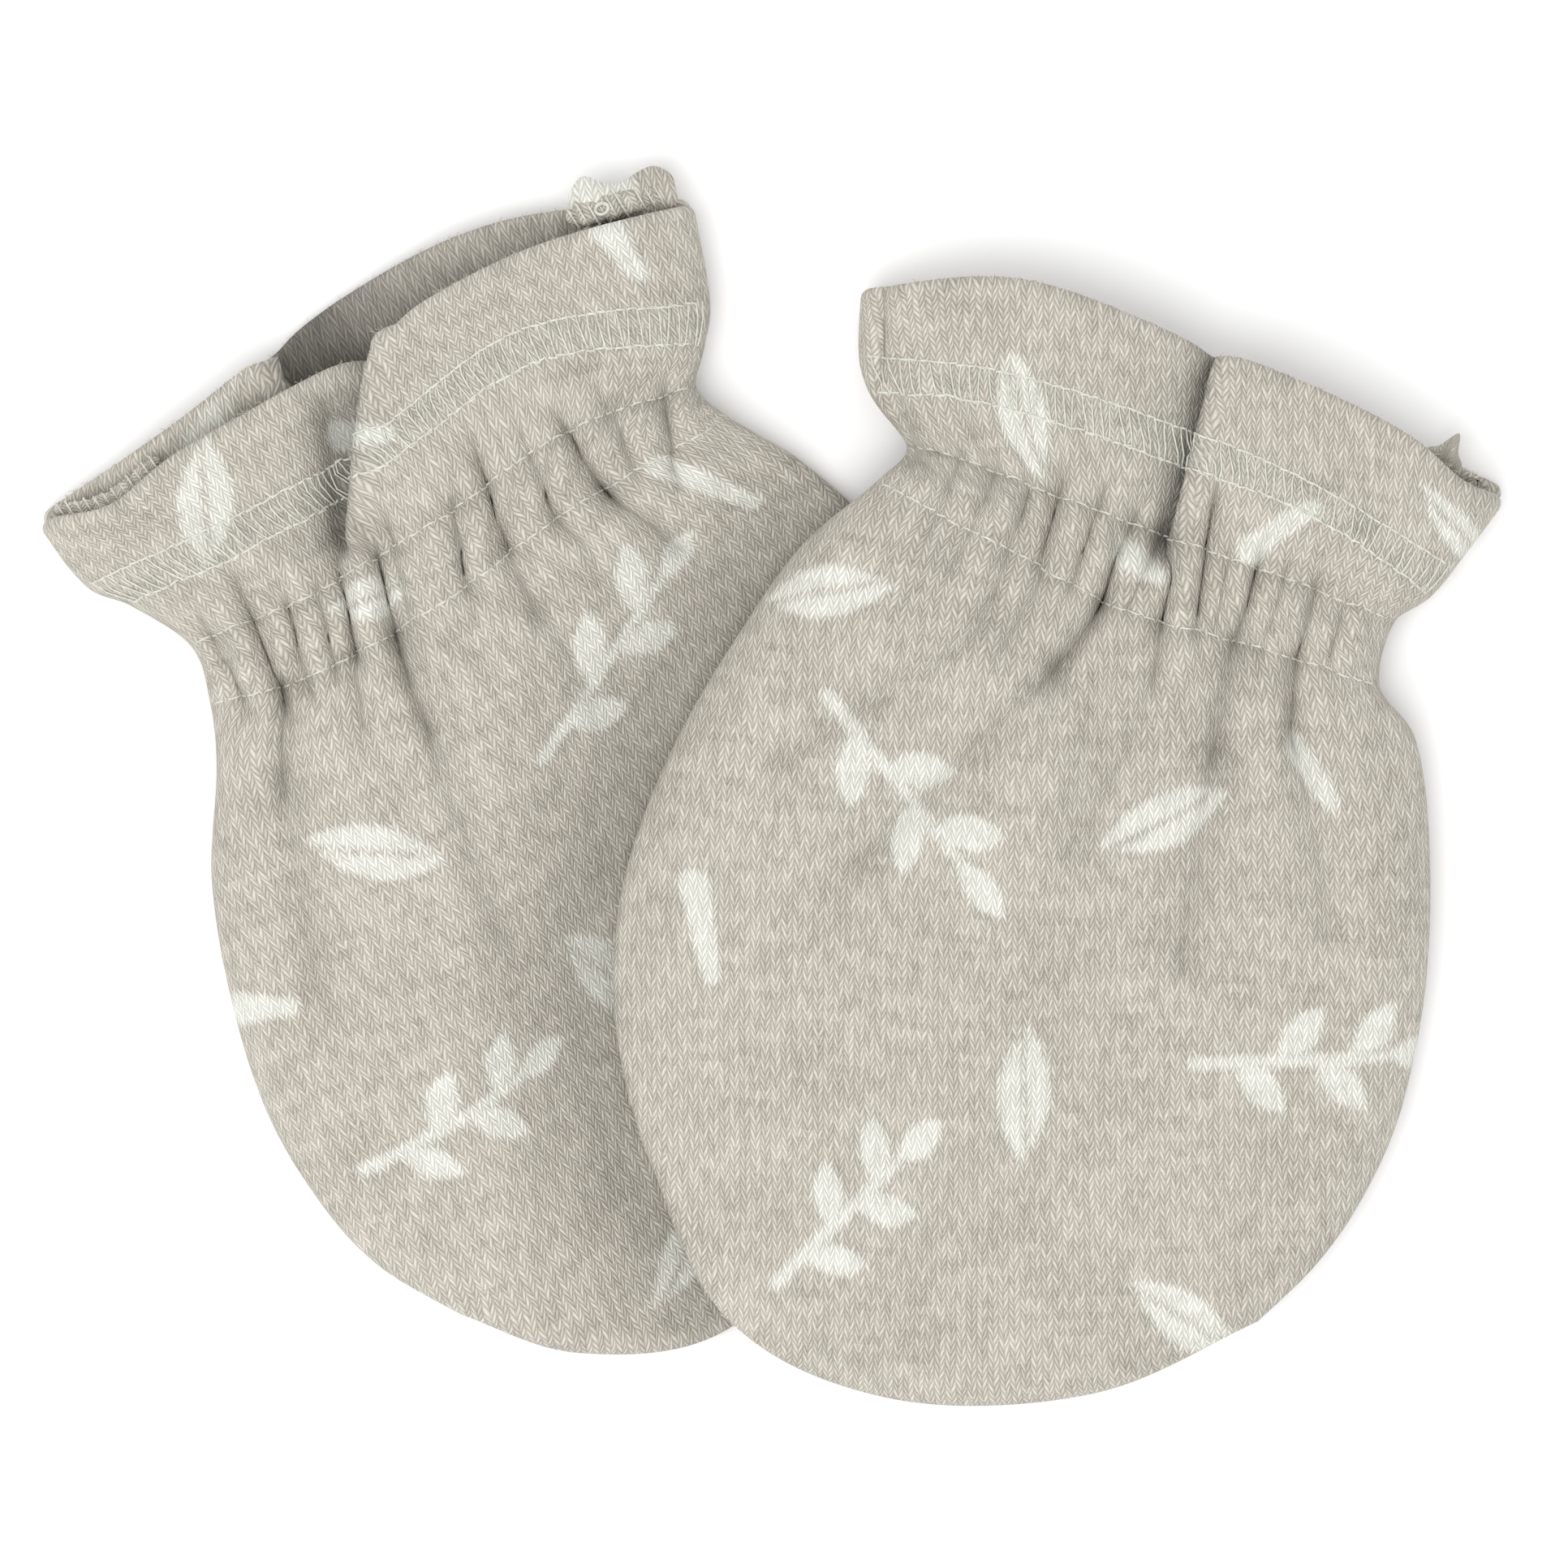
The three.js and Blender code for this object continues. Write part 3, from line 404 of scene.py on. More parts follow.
# The casing's cloth puffs out between its two stitch lines, which are drawn in, and is full of small gathers.
CASING_PUFF = 0.55
STITCH_PINCH = 0.4
STITCH_PINCH_HALF = 0.75
HEM_PINCH = 0.16
LADDER_HOLLOW_HALF = 1.2
SMALL_GATHERS = [(1.9, 0.06), (2.3, 0.1), (2.9, 0.13), (3.4, 0.13), (4.3, 0.13), (5.6, 0.12)]
RUN_OUTS = [(4.1, 0.08), (5.2, 0.12), (7.1, 0.16), (9.4, 0.18), (12.5, 0.16)]
SOFT_WAVES = [(13, 0.05), (17, 0.08), (23, 0.1), (31, 0.12)]
RUN_OUT_BELOW = 13
RUN_OUT_ABOVE = 5


def waves(kinds, x, y, seed, spread):
    """A sum of uneven waves across x, each given by its length and height, their ways turned by up to spread."""
    draw = random.Random(seed)
    total = np.zeros(len(x))
    for length, height in kinds:
        turn = draw.uniform(-spread, spread)
        phase = draw.uniform(0, 2 * math.pi)
        total += height * np.cos(2 * np.pi * (x * math.cos(turn) + y * math.sin(turn)) / length + phase)
    return total


def gathered(mitten, s, down, place, seed):
    """The rise of the cloth from the casing's puff and small gathers, and the softness of the whole panel."""
    upper_cover, lower_cover, upper, lower = (row_down(mitten, i) for i in (1, 2, 3, 4))
    middle = (upper + lower) / 2
    between = np.clip((down - upper) / (lower - upper), 0, 1)
    puff = CASING_PUFF * np.sin(np.pi * between) ** 0.7
    pinch = STITCH_PINCH * (bell(down - upper, STITCH_PINCH_HALF) + bell(down - lower, STITCH_PINCH_HALF))
    hem = HEM_PINCH * (bell(down - upper_cover, STITCH_PINCH_HALF) + bell(down - lower_cover, STITCH_PINCH_HALF)
                       + bell(down - (upper_cover + lower_cover) / 2, LADDER_HOLLOW_HALF))
    across = s * mitten["half_width"][3]
    small = waves(SMALL_GATHERS, across, down, seed, 0.1) * bell(down - middle, 5.6)
    below = smooth((down - lower) / 4) * np.exp(-np.maximum(down - lower, 0) / RUN_OUT_BELOW)
    above = smooth((upper - down) / 3) * np.exp(-np.maximum(upper - down, 0) / RUN_OUT_ABOVE)
    run_out = waves(RUN_OUTS, s * mitten["half_width"][6], down, seed + 1, 0.12) * (below + 0.7 * above) * 1.6
    soft = waves(SOFT_WAVES, place[:, 0], place[:, 1], seed + 2, math.pi)
    return puff - pinch - hem + small + run_out + soft


# Turned-in edges: the radius over which the cloth turns in at a seam, and the steps of cloth past it.
SEAM_TURN = 0.5
SEAM_ROLL = SEAM_GAP / 2 + SEAM_TURN + CLOTH / 2
TURN_STEPS = (0.26, 0.52, 0.785, 1.5, 2.4)
FLAT_TURN_SHARE = 0.12
FRONT_SEED = {"left": 11, "right": 23}


def front_base(mitten, s, down):
    """The middle of a front's wall without its folds, and how free each place is to fold."""
    place = inset_place(mitten, s, down)
    press = pressed(mitten, place)
    width = mix(FRONT_ROUNDING, FLAT_ROUNDING, press)
    round_in = (rounded((1 - np.abs(s)) * row_value(mitten, "half_width", down), width)
                * rounded(mitten["end"] - down, width))
    seam = mix(SEAM_HEIGHT + SEAM_ROLL, FLAT_SEAM_HEIGHT + SEAM_GAP / 2, press)
    top = mix(row_value(mitten, "height", down), PRESSED_HEIGHT, press)
    share = mix(ROUNDING_SHARE, 1, press)
    rise = (top - seam) * round_in * (share + (1 - share) * (1 - s * s))
    z = lifted(mitten, place) + seam + rise
    return np.column_stack([place, z]), round_in * (1 - press), press


def front_form(mitten, s, down):
    """The middle of a front's wall with its folds."""
    base, free, _ = front_base(mitten, s, down)
    near_mouth = 1 - smooth(down / row_down(mitten, 1))
    place, drop = pleated(mitten["pleat"], base[:, :2], free, near_mouth)
    droop = mitten["droop"]
    place[:, 1] -= droop.deep * bell(s - droop.across, droop.half) * near_mouth
    depth, _ = crease_depth(mitten["creases"], base[:, :2])
    loft = gathered(mitten, s, down, base[:, :2], FRONT_SEED[mitten["name"]])
    return np.column_stack([place, base[:, 2] + (loft - depth) * free - drop])


# Painted shade of a front: along its gathers' narrow lines, on its pleat's low side, and on the left mitten close
# beside the right one.
def front_shade(mitten, s, down):
    base, free, press = front_base(mitten, s, down)
    _, narrow = crease_depth(mitten["creases"], base[:, :2])
    shade = (narrow * LINE_SHADE * free + pleat_shade(mitten["pleat"], base[:, :2], free)
             + NEAR_SHADE * press ** NEAR_SHADE_FADE)
    return np.clip(shade, 0, 1)


def facing(base, mitten, s, down, upward):
    """The way that the cloth's outer side faces, from the form without its folds: level at a seam."""
    step, inward = 1e-3, (0.04, 3)
    across = base(mitten, np.minimum(s + step, 1), down)[0] - base(mitten, np.maximum(s - step, -1), down)[0]
    along = (base(mitten, s, np.minimum(down + step, mitten["end"]))[0]
             - base(mitten, s, np.maximum(down - step, 0))[0])
    normal = np.cross(along, across) * upward
    on_side = np.abs(s) > 1 - 1e-9
    on_end = down > mitten["end"] - 1e-9
    inner_s = np.where(on_side, s * (1 - inward[0]), s)
    inner_down = np.where(on_end, down - inward[1], down)
    level = base(mitten, s, down)[0] - base(mitten, inner_s, inner_down)[0]
    level[:, 2] = 0
    normal = np.where((on_side | on_end)[:, None], level, normal)
    return normal / np.linalg.norm(normal, axis=1)[:, None]


Panel = namedtuple("Panel", "form base shade upward edge_in")
FRONT = Panel(front_form, front_base, front_shade, 1, -1)

HEM_TURN = 12.6
FOLD_RADIUS = (HEM_WALL - CLOTH) / 2
FOLD_DOWN = FOLD_RADIUS + CLOTH / 2


def cloth_points(mitten, panel, s, down, layer, roll, past):
    """Places of a panel's cloth, its middle: layer is 1 outside, -1 in the turned-up hem, roll 1 at the hem's
    fold, and past is how far the cloth is past its seam."""
    middle = panel.form(mitten, s, down)
    face = facing(panel.base, mitten, s, down, panel.upward)
    out = layer * (row_value(mitten, "wall", down) - CLOTH) / 2
    lip = panel.base(mitten, s, np.full(len(s), FOLD_DOWN))[0] - panel.base(mitten, s, np.full(len(s), 3.0))[0]
    lip[:, 2] = 0
    lip /= np.linalg.norm(lip, axis=1)[:, None]
    points = middle + face * out[:, None] + lip * (roll * FOLD_RADIUS)[:, None]
    press = panel.base(mitten, s, down)[2]
    scale = mix(1, FLAT_TURN_SHARE, press)
    turn = np.minimum(past / SEAM_TURN, math.pi / 2)
    in_by = (SEAM_TURN * (1 - np.cos(turn)) + np.maximum(past - SEAM_TURN * math.pi / 2, 0)) * scale
    points[:, :2] -= face[:, :2] * in_by[:, None]
    points[:, 2] += panel.edge_in * SEAM_TURN * np.sin(turn) * scale
    return points


def seam_to_seam(middle_steps, round_steps, edge_share):
    """Columns across a panel: the way across and the cloth past a seam, closer together where it rounds over."""
    angles = np.linspace(0, math.pi / 2, round_steps + 1)
    edge = 1 - edge_share * (1 - np.cos(angles))
    middle = np.linspace(-edge[-1], edge[-1], middle_steps + 1)[1:-1]
    s = np.concatenate([-np.ones(len(TURN_STEPS)), -edge, middle, edge[::-1], np.ones(len(TURN_STEPS))])
    past = np.concatenate([TURN_STEPS[::-1], np.zeros(len(s) - 2 * len(TURN_STEPS)), TURN_STEPS])
    return s, past


def end_to_hem(mitten, hand_steps, cuff_steps, round_steps, hem_steps, width):
    """Rows up a panel: down, layer, roll, past and the way along the flat cloth, from the fingertips' turned-in
    edge up over the hem's fold to its raw edge inside."""
    end, cuff = mitten["end"], row_down(mitten, 5)
    rows = [(end, 1, 0, past, end + past) for past in TURN_STEPS[::-1]]
    for angle in np.linspace(0, math.pi / 2, round_steps + 1):
        down = end - width * (1 - math.cos(angle))
        rows.append((down, 1, 0, 0, down))
    rows += [(down, 1, 0, 0, down) for down in np.linspace(end - width, cuff, hand_steps + 1)[1:]]
    rows += [(down, 1, 0, 0, down) for down in np.linspace(cuff, FOLD_DOWN, cuff_steps + 1)[1:]]
    for angle in np.linspace(math.pi / 2, -math.pi / 2, 9)[1:-1]:
        flat = FOLD_DOWN - FOLD_RADIUS * (math.pi / 2 - angle)
        rows.append((FOLD_DOWN, math.sin(angle), math.cos(angle), 0, flat))
    fold_end = FOLD_DOWN - FOLD_RADIUS * math.pi
    for down in np.linspace(FOLD_DOWN, HEM_TURN, hem_steps + 1):
        rows.append((down, -1, 0, 0, fold_end - (down - FOLD_DOWN)))
    return np.array(rows)


# The print: cream sprigs, single leaves and brush dashes. Each is given by its place on the flat cloth (across
# from the middle, down from the hem's fold), its turn and its length.
Motif = namedtuple("Motif", "kind at turn length")
RIGHT_PRINT = [
    Motif("sprig", (-17, 50), 28, 19), Motif("leaf", (9, 44), -38, 13), Motif("sprig", (27, 62), -20, 18),
    Motif("dash", (-29, 70), 60, 11), Motif("leaf", (4, 72), 74, 13), Motif("sprig", (-9, 90), -64, 17),
    Motif("leaf", (25, 88), 18, 12), Motif("leaf", (-29, 37), -30, 12),
    Motif("dash", (22, 36), 40, 9), Motif("leaf", (-16, 12), 66, 12), Motif("dash", (14, 14), -62, 10),
    Motif("leaf", (29, 5), 22, 10), Motif("dash", (-1, 22), 12, 8),
]
LEFT_PRINT = [
    Motif("leaf", (-22, 6), -58, 13), Motif("dash", (-4, 8), 28, 10), Motif("leaf", (-12, 22), 10, 11),
    Motif("dash", (26, 3), 76, 8), Motif("sprig", (7, 40), -22, 19), Motif("leaf", (-20, 44), 32, 13),
    Motif("dash", (26, 31), 64, 11), Motif("leaf", (24, 50), -44, 12), Motif("sprig", (-25, 70), -8, 17),
    Motif("leaf", (-4, 66), 66, 13), Motif("dash", (14, 78), 22, 10), Motif("leaf", (-8, 92), -26, 12),
    Motif("dash", (-36, 54), 14, 8),
]
SPRIG_LEAVES = [(-0.28, 1), (-0.06, -1), (0.14, 1), (0.32, -1)]
LEAF_PLUMP = 0.19
DASH_HALF = 1.5
STEM_HALF = 0.62


def leaf_distance(x, y, half_long, half_wide):
    """Distance outside a leaf that lies along x from -half_long to half_long."""
    inside = np.abs(y) - half_wide * (1 - (x / half_long) ** 2)
    tip = np.hypot(np.abs(x) - half_long, y)
    return np.where(np.abs(x) < half_long, np.minimum(inside, np.maximum(tip, inside)), tip)


def stroke_distance(x, y, half_long, half_wide, taper):
    """Distance outside a brush stroke along x, narrower towards its far end by taper."""
    f = np.clip(x / (2 * half_long) + 0.5, 0, 1)
    return np.hypot(x - mix(-half_long, half_long, f), y) - half_wide * (1 - taper * f)


def turned(x, y, degrees):
    c, s = math.cos(math.radians(degrees)), math.sin(math.radians(degrees))
    return x * c + y * s, -x * s + y * c


def motif_distance(motif, across, down):
    x, y = turned(across - motif.at[0], down - motif.at[1], motif.turn)
    half = motif.length / 2
    if motif.kind == "leaf":
        return np.maximum(leaf_distance(x, y, half, motif.length * LEAF_PLUMP), 0.28 - np.abs(y + 0.1 * x))
    if motif.kind == "dash":
        return stroke_distance(x, y, half - DASH_HALF, DASH_HALF, 0.5)
    distance = stroke_distance(x, y, half, STEM_HALF, 0.3)
    for at, side in SPRIG_LEAVES:
        leaf_half = half * 0.36
        lx, ly = turned(x - at * motif.length, y, side * 48)
        distance = np.minimum(distance, leaf_distance(lx - leaf_half, ly, leaf_half, leaf_half * 0.46))
    tip_half = half * 0.34
    return np.minimum(distance, leaf_distance(x - half - tip_half, y, tip_half, tip_half * 0.46))


def print_distance(motifs, across, down):
    """Distance outside the nearest motif, in millimetres, and below 0 inside it."""
    return np.min([motif_distance(motif, across, down) for motif in motifs], axis=0)


# The cloth's own map holds its flat pattern, so that the knit follows the folds: one unit is MAP_SIZE.
MAP_SIZE = 160


def blurred(values, spread, axis):
    """Values averaged over their neighbours along one axis of a grid, as far as spread."""
    reach = 2 * spread
    share = bell(np.arange(-reach, reach + 1), spread)
    share /= share.sum()
    pad = [(reach, reach) if i == axis else (0, 0) for i in range(values.ndim)]
    padded = np.pad(values, pad, mode="edge")
    count = values.shape[axis]
    return sum(part * np.take(padded, np.arange(i, i + count), axis=axis) for i, part in enumerate(share))


GATHER_SHARE = 0.75


def flat_map(points, base, ways, anchor):
    """Where a panel's grid of places lies on the flat cloth: lengths across from the middle column, with most
    of the extra length that the folds take up, and down from the hem's fold."""
    steps = np.hypot(np.diff(points[..., 0], axis=1), np.diff(points[..., 2], axis=1))
    extra = np.hstack([np.zeros((len(points), 1)), np.cumsum(steps, axis=1)]) - base[..., 0]
    middle = points.shape[1] // 2
    extra -= extra[:, middle][:, None]
    across = base[..., 0] + GATHER_SHARE * blurred(extra, 10, 0)
    steps = np.hypot(np.diff(base[..., 1], axis=0), np.diff(base[..., 2], axis=0))
    up = np.vstack([np.zeros((1, points.shape[1])), np.cumsum(steps, axis=0)])
    down = up[anchor] - up + ways[anchor]
    return across, np.where((ways <= ways[anchor])[:, None], ways[:, None], blurred(down, 6, 1))


# Painted shade darkens the cloth inside the mouth, from none at the hem's fold to full this far past it.
MOUTH_SHADE_DEPTH = 11


def cloth_panel(name, mitten, panel, columns, rows, motifs):
    """A panel's cloth as a grid moved to its places, with its flat map, the distance to its print and its painted
    shade.
    """
    s_of, past_of = columns
    downs, layers, rolls, pasts, ways = rows.T
    shape = (len(rows), len(s_of))
    s, past = (np.tile(values, len(rows)) for values in (s_of, past_of))
    down, layer, roll, past_end = (np.repeat(values, len(s_of)) for values in (downs, layers, rolls, pasts))
    points = cloth_points(mitten, panel, s, down, layer, roll, np.maximum(past, past_end))
    anchor = int(np.argmin(np.abs(ways - row_down(mitten, 4))))
    base = panel.base(mitten, s, down)[0]
    across, way = flat_map(points.reshape(*shape, 3), base.reshape(*shape, 3), ways, anchor)
    printed = print_distance(motifs, across, way)
    # Painted shade: the panel's own, or that deep inside the mouth where it is stronger, kept as the shade attribute.
    shade = np.maximum(panel.shade(mitten, s, down).reshape(shape), smooth(-ways / MOUTH_SHADE_DEPTH)[:, None])
    u, v = turned(across, way - row_down(mitten, 3), math.degrees(-mitten["grain"]))
    points = laid(mitten, points).reshape(*shape, 3) * MM
    bm = bmesh.new()
    bmesh.ops.create_grid(bm, x_segments=shape[1] - 1, y_segments=shape[0] - 1, size=1)
    flat = np.array([v.co[:2] for v in bm.verts])
    column = np.rint((flat[:, 0] + 1) / 2 * (shape[1] - 1)).astype(int)
    row = np.rint((flat[:, 1] + 1) / 2 * (shape[0] - 1)).astype(int)
    print_layer = bm.verts.layers.float.new("print_distance")
    shade_layer = bm.verts.layers.float.new("shade")
    for vert, i, j in zip(bm.verts, row, column):
        vert.co = points[i, j]
        vert[print_layer] = printed[i, j]
        vert[shade_layer] = shade[i, j]
    if panel.upward < 0:
        bmesh.ops.reverse_faces(bm, faces=bm.faces)
    cloth_map = bm.loops.layers.uv.new("cloth")
    bm.verts.index_update()
    places = np.column_stack([u[row, column], v[row, column]]) / MAP_SIZE + 0.5
    for face in bm.faces:
        face.smooth = True
        for loop in face.loops:
            loop[cloth_map].uv = places[loop.vert.index]
    piece = new_piece(name, bm)
    thick = piece.modifiers.new("knit's thickness", "SOLIDIFY")
    thick.thickness = CLOTH * MM
    thick.offset = 0
    thick.material_offset = 1
    return piece


def new_piece(name, bm):
    mesh = bpy.data.meshes.new(name)
    bm.to_mesh(mesh)
    bm.free()
    piece = bpy.data.objects.new(name, mesh)
    bpy.context.scene.collection.objects.link(piece)
    return piece


def wired(tree, kind, inputs=(), **settings):
    """A new node with its settings, its inputs joined to sockets or set to values."""
    node = tree.nodes.new(kind)
    for key, value in settings.items():
        setattr(node, key, value)
    for key, value in dict(inputs).items():
        if isinstance(value, bpy.types.NodeSocket):
            tree.links.new(value, node.inputs[key])
        else:
            node.inputs[key].default_value = value
    return node


def sum_of(tree, operation, *values):
    """The output of a Math node."""
    return wired(tree, "ShaderNodeMath", dict(enumerate(values)), operation=operation).outputs[0]


def vector_of(tree, operation, *values):
    """The output of a Vector Math node."""
    return wired(tree, "ShaderNodeVectorMath", dict(enumerate(values)), operation=operation).outputs[0]


# Interlock's face: columns of V-shaped stitches, two slanting legs to a wale, each wale half a course past the
# next, with small holes where the legs meet. The yarn is heathered, so its colour drifts along each course and
# from stitch to stitch. The stitches' relief is painted into the colour too: painted shade between the legs and in
# the holes, painted highlight on the legs' tops.
WALE = 1.0
COURSE = 0.76
LEG_SLANT = 1.35
WALE_STAGGER = 0.5


def interlock_group():
    group = bpy.data.node_groups.new("interlock_knit", "ShaderNodeTree")
    group.interface.new_socket("Cloth", in_out="INPUT", socket_type="NodeSocketVector")
    group.interface.new_socket("Height", in_out="OUTPUT", socket_type="NodeSocketFloat")
    group.interface.new_socket("Relief shade and heather", in_out="OUTPUT", socket_type="NodeSocketFloat")
    start = group.nodes.new("NodeGroupInput").outputs["Cloth"]
    end = group.nodes.new("NodeGroupOutput")
    uneven = wired(group, "ShaderNodeTexNoise", {"Vector": start, "Scale": 0.45, "Detail": 1}).outputs["Color"]
    shift = vector_of(group, "MULTIPLY", vector_of(group, "SUBTRACT", uneven, (0.5, 0.5, 0.5)), (0.45, 0.45, 0))
    parts = wired(group, "ShaderNodeSeparateXYZ", {0: vector_of(group, "ADD", start, shift)})
    wale = sum_of(group, "DIVIDE", parts.outputs["X"], WALE)
    course = sum_of(group, "DIVIDE", parts.outputs["Y"], COURSE)
    off_centre = sum_of(group, "ABSOLUTE", sum_of(group, "SUBTRACT", sum_of(group, "FRACT", wale), 0.5))
    leg = sum_of(group, "MULTIPLY", off_centre, 2)
    odd_wale = sum_of(group, "FLOOR", sum_of(group, "FLOORED_MODULO", wale, 2))
    staggered = sum_of(group, "MULTIPLY_ADD", odd_wale, WALE_STAGGER, course)
    slanted = sum_of(group, "MULTIPLY_ADD", leg, LEG_SLANT, staggered)
    stitch_way = sum_of(group, "MULTIPLY", sum_of(group, "FRACT", slanted), math.pi)
    round_across = sum_of(group, "POWER", sum_of(group, "SINE", stitch_way), 0.75)
    round_along = sum_of(group, "POWER", sum_of(group, "SINE", sum_of(group, "MULTIPLY", leg, math.pi)), 0.9)
    body = sum_of(group, "MULTIPLY", round_across, sum_of(group, "MULTIPLY_ADD", round_along, 0.74, 0.26))
    stitch = wired(group, "ShaderNodeCombineXYZ", {
        0: sum_of(group, "FLOOR", sum_of(group, "MULTIPLY", wale, 2)), 1: sum_of(group, "FLOOR", slanted)})
    each = wired(group, "ShaderNodeTexWhiteNoise", {"Vector": stitch.outputs[0]}).outputs["Value"]
    yarn = wired(group, "ShaderNodeCombineXYZ", {
        0: sum_of(group, "MULTIPLY", parts.outputs["X"], 0.2),
        1: sum_of(group, "MULTIPLY", sum_of(group, "FLOOR", course), 1.37)})
    streak = wired(group, "ShaderNodeTexNoise", {"Vector": yarn.outputs[0], "Scale": 1, "Detail": 2})
    fuzz = wired(group, "ShaderNodeTexNoise", {"Vector": start, "Scale": 4.5, "Detail": 2})
    drift = wired(group, "ShaderNodeTexNoise", {"Vector": start, "Scale": 0.11, "Detail": 2})
    # Painted shade and highlight of the stitches' relief: low between the legs and in the holes, high on the legs'
    # tops. The heather's drift and the fibres' fuzz are added to it below.
    relief_shade_and_heather = sum_of(group, "MULTIPLY_ADD", body, 0.6, 0.26)
    for part, share in ((each, 0.3), (streak.outputs["Fac"], 0.42), (fuzz.outputs["Fac"], 0.45),
                        (drift.outputs["Fac"], 0.3)):
        relief_shade_and_heather = sum_of(group, "MULTIPLY_ADD", sum_of(group, "SUBTRACT", part, 0.5), share, relief_shade_and_heather)
    height = sum_of(group, "MULTIPLY_ADD", fuzz.outputs["Fac"], 0.3, body)
    group.links.new(height, end.inputs["Height"])
    group.links.new(sum_of(group, "MINIMUM", sum_of(group, "MAXIMUM", relief_shade_and_heather, 0), 1), end.inputs["Relief shade and heather"])
    return group


INTERLOCK = interlock_group()
# Colours of the knit and the print from darkest to lightest: the spread is partly the heather and partly painted
# shade between the stitches and painted highlight on their tops.
KNIT_DARK = (0.21, 0.19, 0.158, 1)
KNIT_LIGHT = (0.655, 0.618, 0.545, 1)
PRINT_DARK = (0.43, 0.425, 0.375, 1)
PRINT_LIGHT = (0.82, 0.825, 0.755, 1)
PRINT_BLUR = 0.5
KNIT_RELIEF = 0.16
PAINTED_SHADE_SHARE = 0.34


def knit_material(name, printed):
    """Heathered interlock, with the cream print on its face or plain on its inside, darkened by painted shade."""
    material = bpy.data.materials.new(name)
    material.use_nodes = True
    tree = material.node_tree
    shader = tree.nodes["Principled BSDF"]
    cloth_map = wired(tree, "ShaderNodeUVMap", uv_map="cloth").outputs["UV"]
    flat = vector_of(tree, "MULTIPLY", vector_of(tree, "SUBTRACT", cloth_map, (0.5, 0.5, 0)),
                     (MAP_SIZE, MAP_SIZE, 0))
    knit = wired(tree, "ShaderNodeGroup", node_tree=INTERLOCK)
    tree.links.new(flat, knit.inputs["Cloth"])
    colour = wired(tree, "ShaderNodeMix", {"Factor": knit.outputs["Relief shade and heather"], 6: KNIT_DARK, 7: KNIT_LIGHT},
                   data_type="RGBA").outputs[2]
    if printed:
        distance = wired(tree, "ShaderNodeAttribute", attribute_name="print_distance").outputs["Fac"]
        ragged = sum_of(tree, "MULTIPLY_ADD", knit.outputs["Height"], -0.3, distance)
        mask = wired(tree, "ShaderNodeMapRange", {
            "Value": ragged, "From Min": PRINT_BLUR - 0.15, "From Max": -PRINT_BLUR - 0.15, "To Min": 0, "To Max": 1},
            interpolation_type="SMOOTHSTEP").outputs[0]
        cream = wired(tree, "ShaderNodeMix", {"Factor": knit.outputs["Relief shade and heather"], 6: PRINT_DARK, 7: PRINT_LIGHT},
                      data_type="RGBA").outputs[2]
        colour = wired(tree, "ShaderNodeMix", {"Factor": mask, 6: colour, 7: cream}, data_type="RGBA").outputs[2]
    # Painted shade: the shade attribute darkens the colour, to the painted shade's share of it where the shade is 1.
    shade = wired(tree, "ShaderNodeAttribute", attribute_name="shade").outputs["Fac"]
    shade_multiplier = sum_of(tree, "MULTIPLY_ADD", shade, PAINTED_SHADE_SHARE - 1, 1)
    colour = vector_of(tree, "MULTIPLY", colour, wired(tree, "ShaderNodeCombineXYZ", {
        0: shade_multiplier, 1: shade_multiplier, 2: shade_multiplier}).outputs[0])
    bump = wired(tree, "ShaderNodeBump", {
        "Strength": 0.7, "Distance": KNIT_RELIEF * MM, "Height": knit.outputs["Height"]})
    tree.links.new(colour, shader.inputs["Base Color"])
    tree.links.new(bump.outputs["Normal"], shader.inputs["Normal"])
    shader.inputs["Roughness"].default_value = 0.95
    shader.inputs["Specular IOR Level"].default_value = 0.15
    shader.inputs["Sheen Weight"].default_value = 0.08
    shader.inputs["Sheen Roughness"].default_value = 0.5
    return material


KNIT_FACE = knit_material("printed_knit", True)
KNIT_INSIDE = knit_material("plain_knit", False)

for side, motifs in ((LEFT, LEFT_PRINT), (RIGHT, RIGHT_PRINT)):
    front = cloth_panel(
        f"{side['name']}_front_panel", side, FRONT, seam_to_seam(112, 16, 0.2),
        end_to_hem(side, 104, 76, 14, 12, FRONT_ROUNDING), motifs)
    front.data.materials.append(KNIT_FACE)
    front.data.materials.append(KNIT_INSIDE)
    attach(front, "root")
    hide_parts(f"{side['name']}_front")

# Back panels. The same cut as the fronts, sewn to them right sides out along the sides and fingertips. They lie
# flat on the table or on the other mitten, and the left one's mouth edge stands up behind its front.
BACK_ROUNDING = 5
BACK_GATHERS = [(-0.76, 0.06, 0.7), (-0.5, 0.07, 0.7), (-0.22, 0.06, 0.6), (0.06, 0.07, 0.6),
                (0.34, 0.06, 0.6), (0.6, 0.07, 0.7), (0.82, 0.05, 0.6)]
BACK_GATHER_MIDDLE = 22
BACK_GATHER_REACH = 7


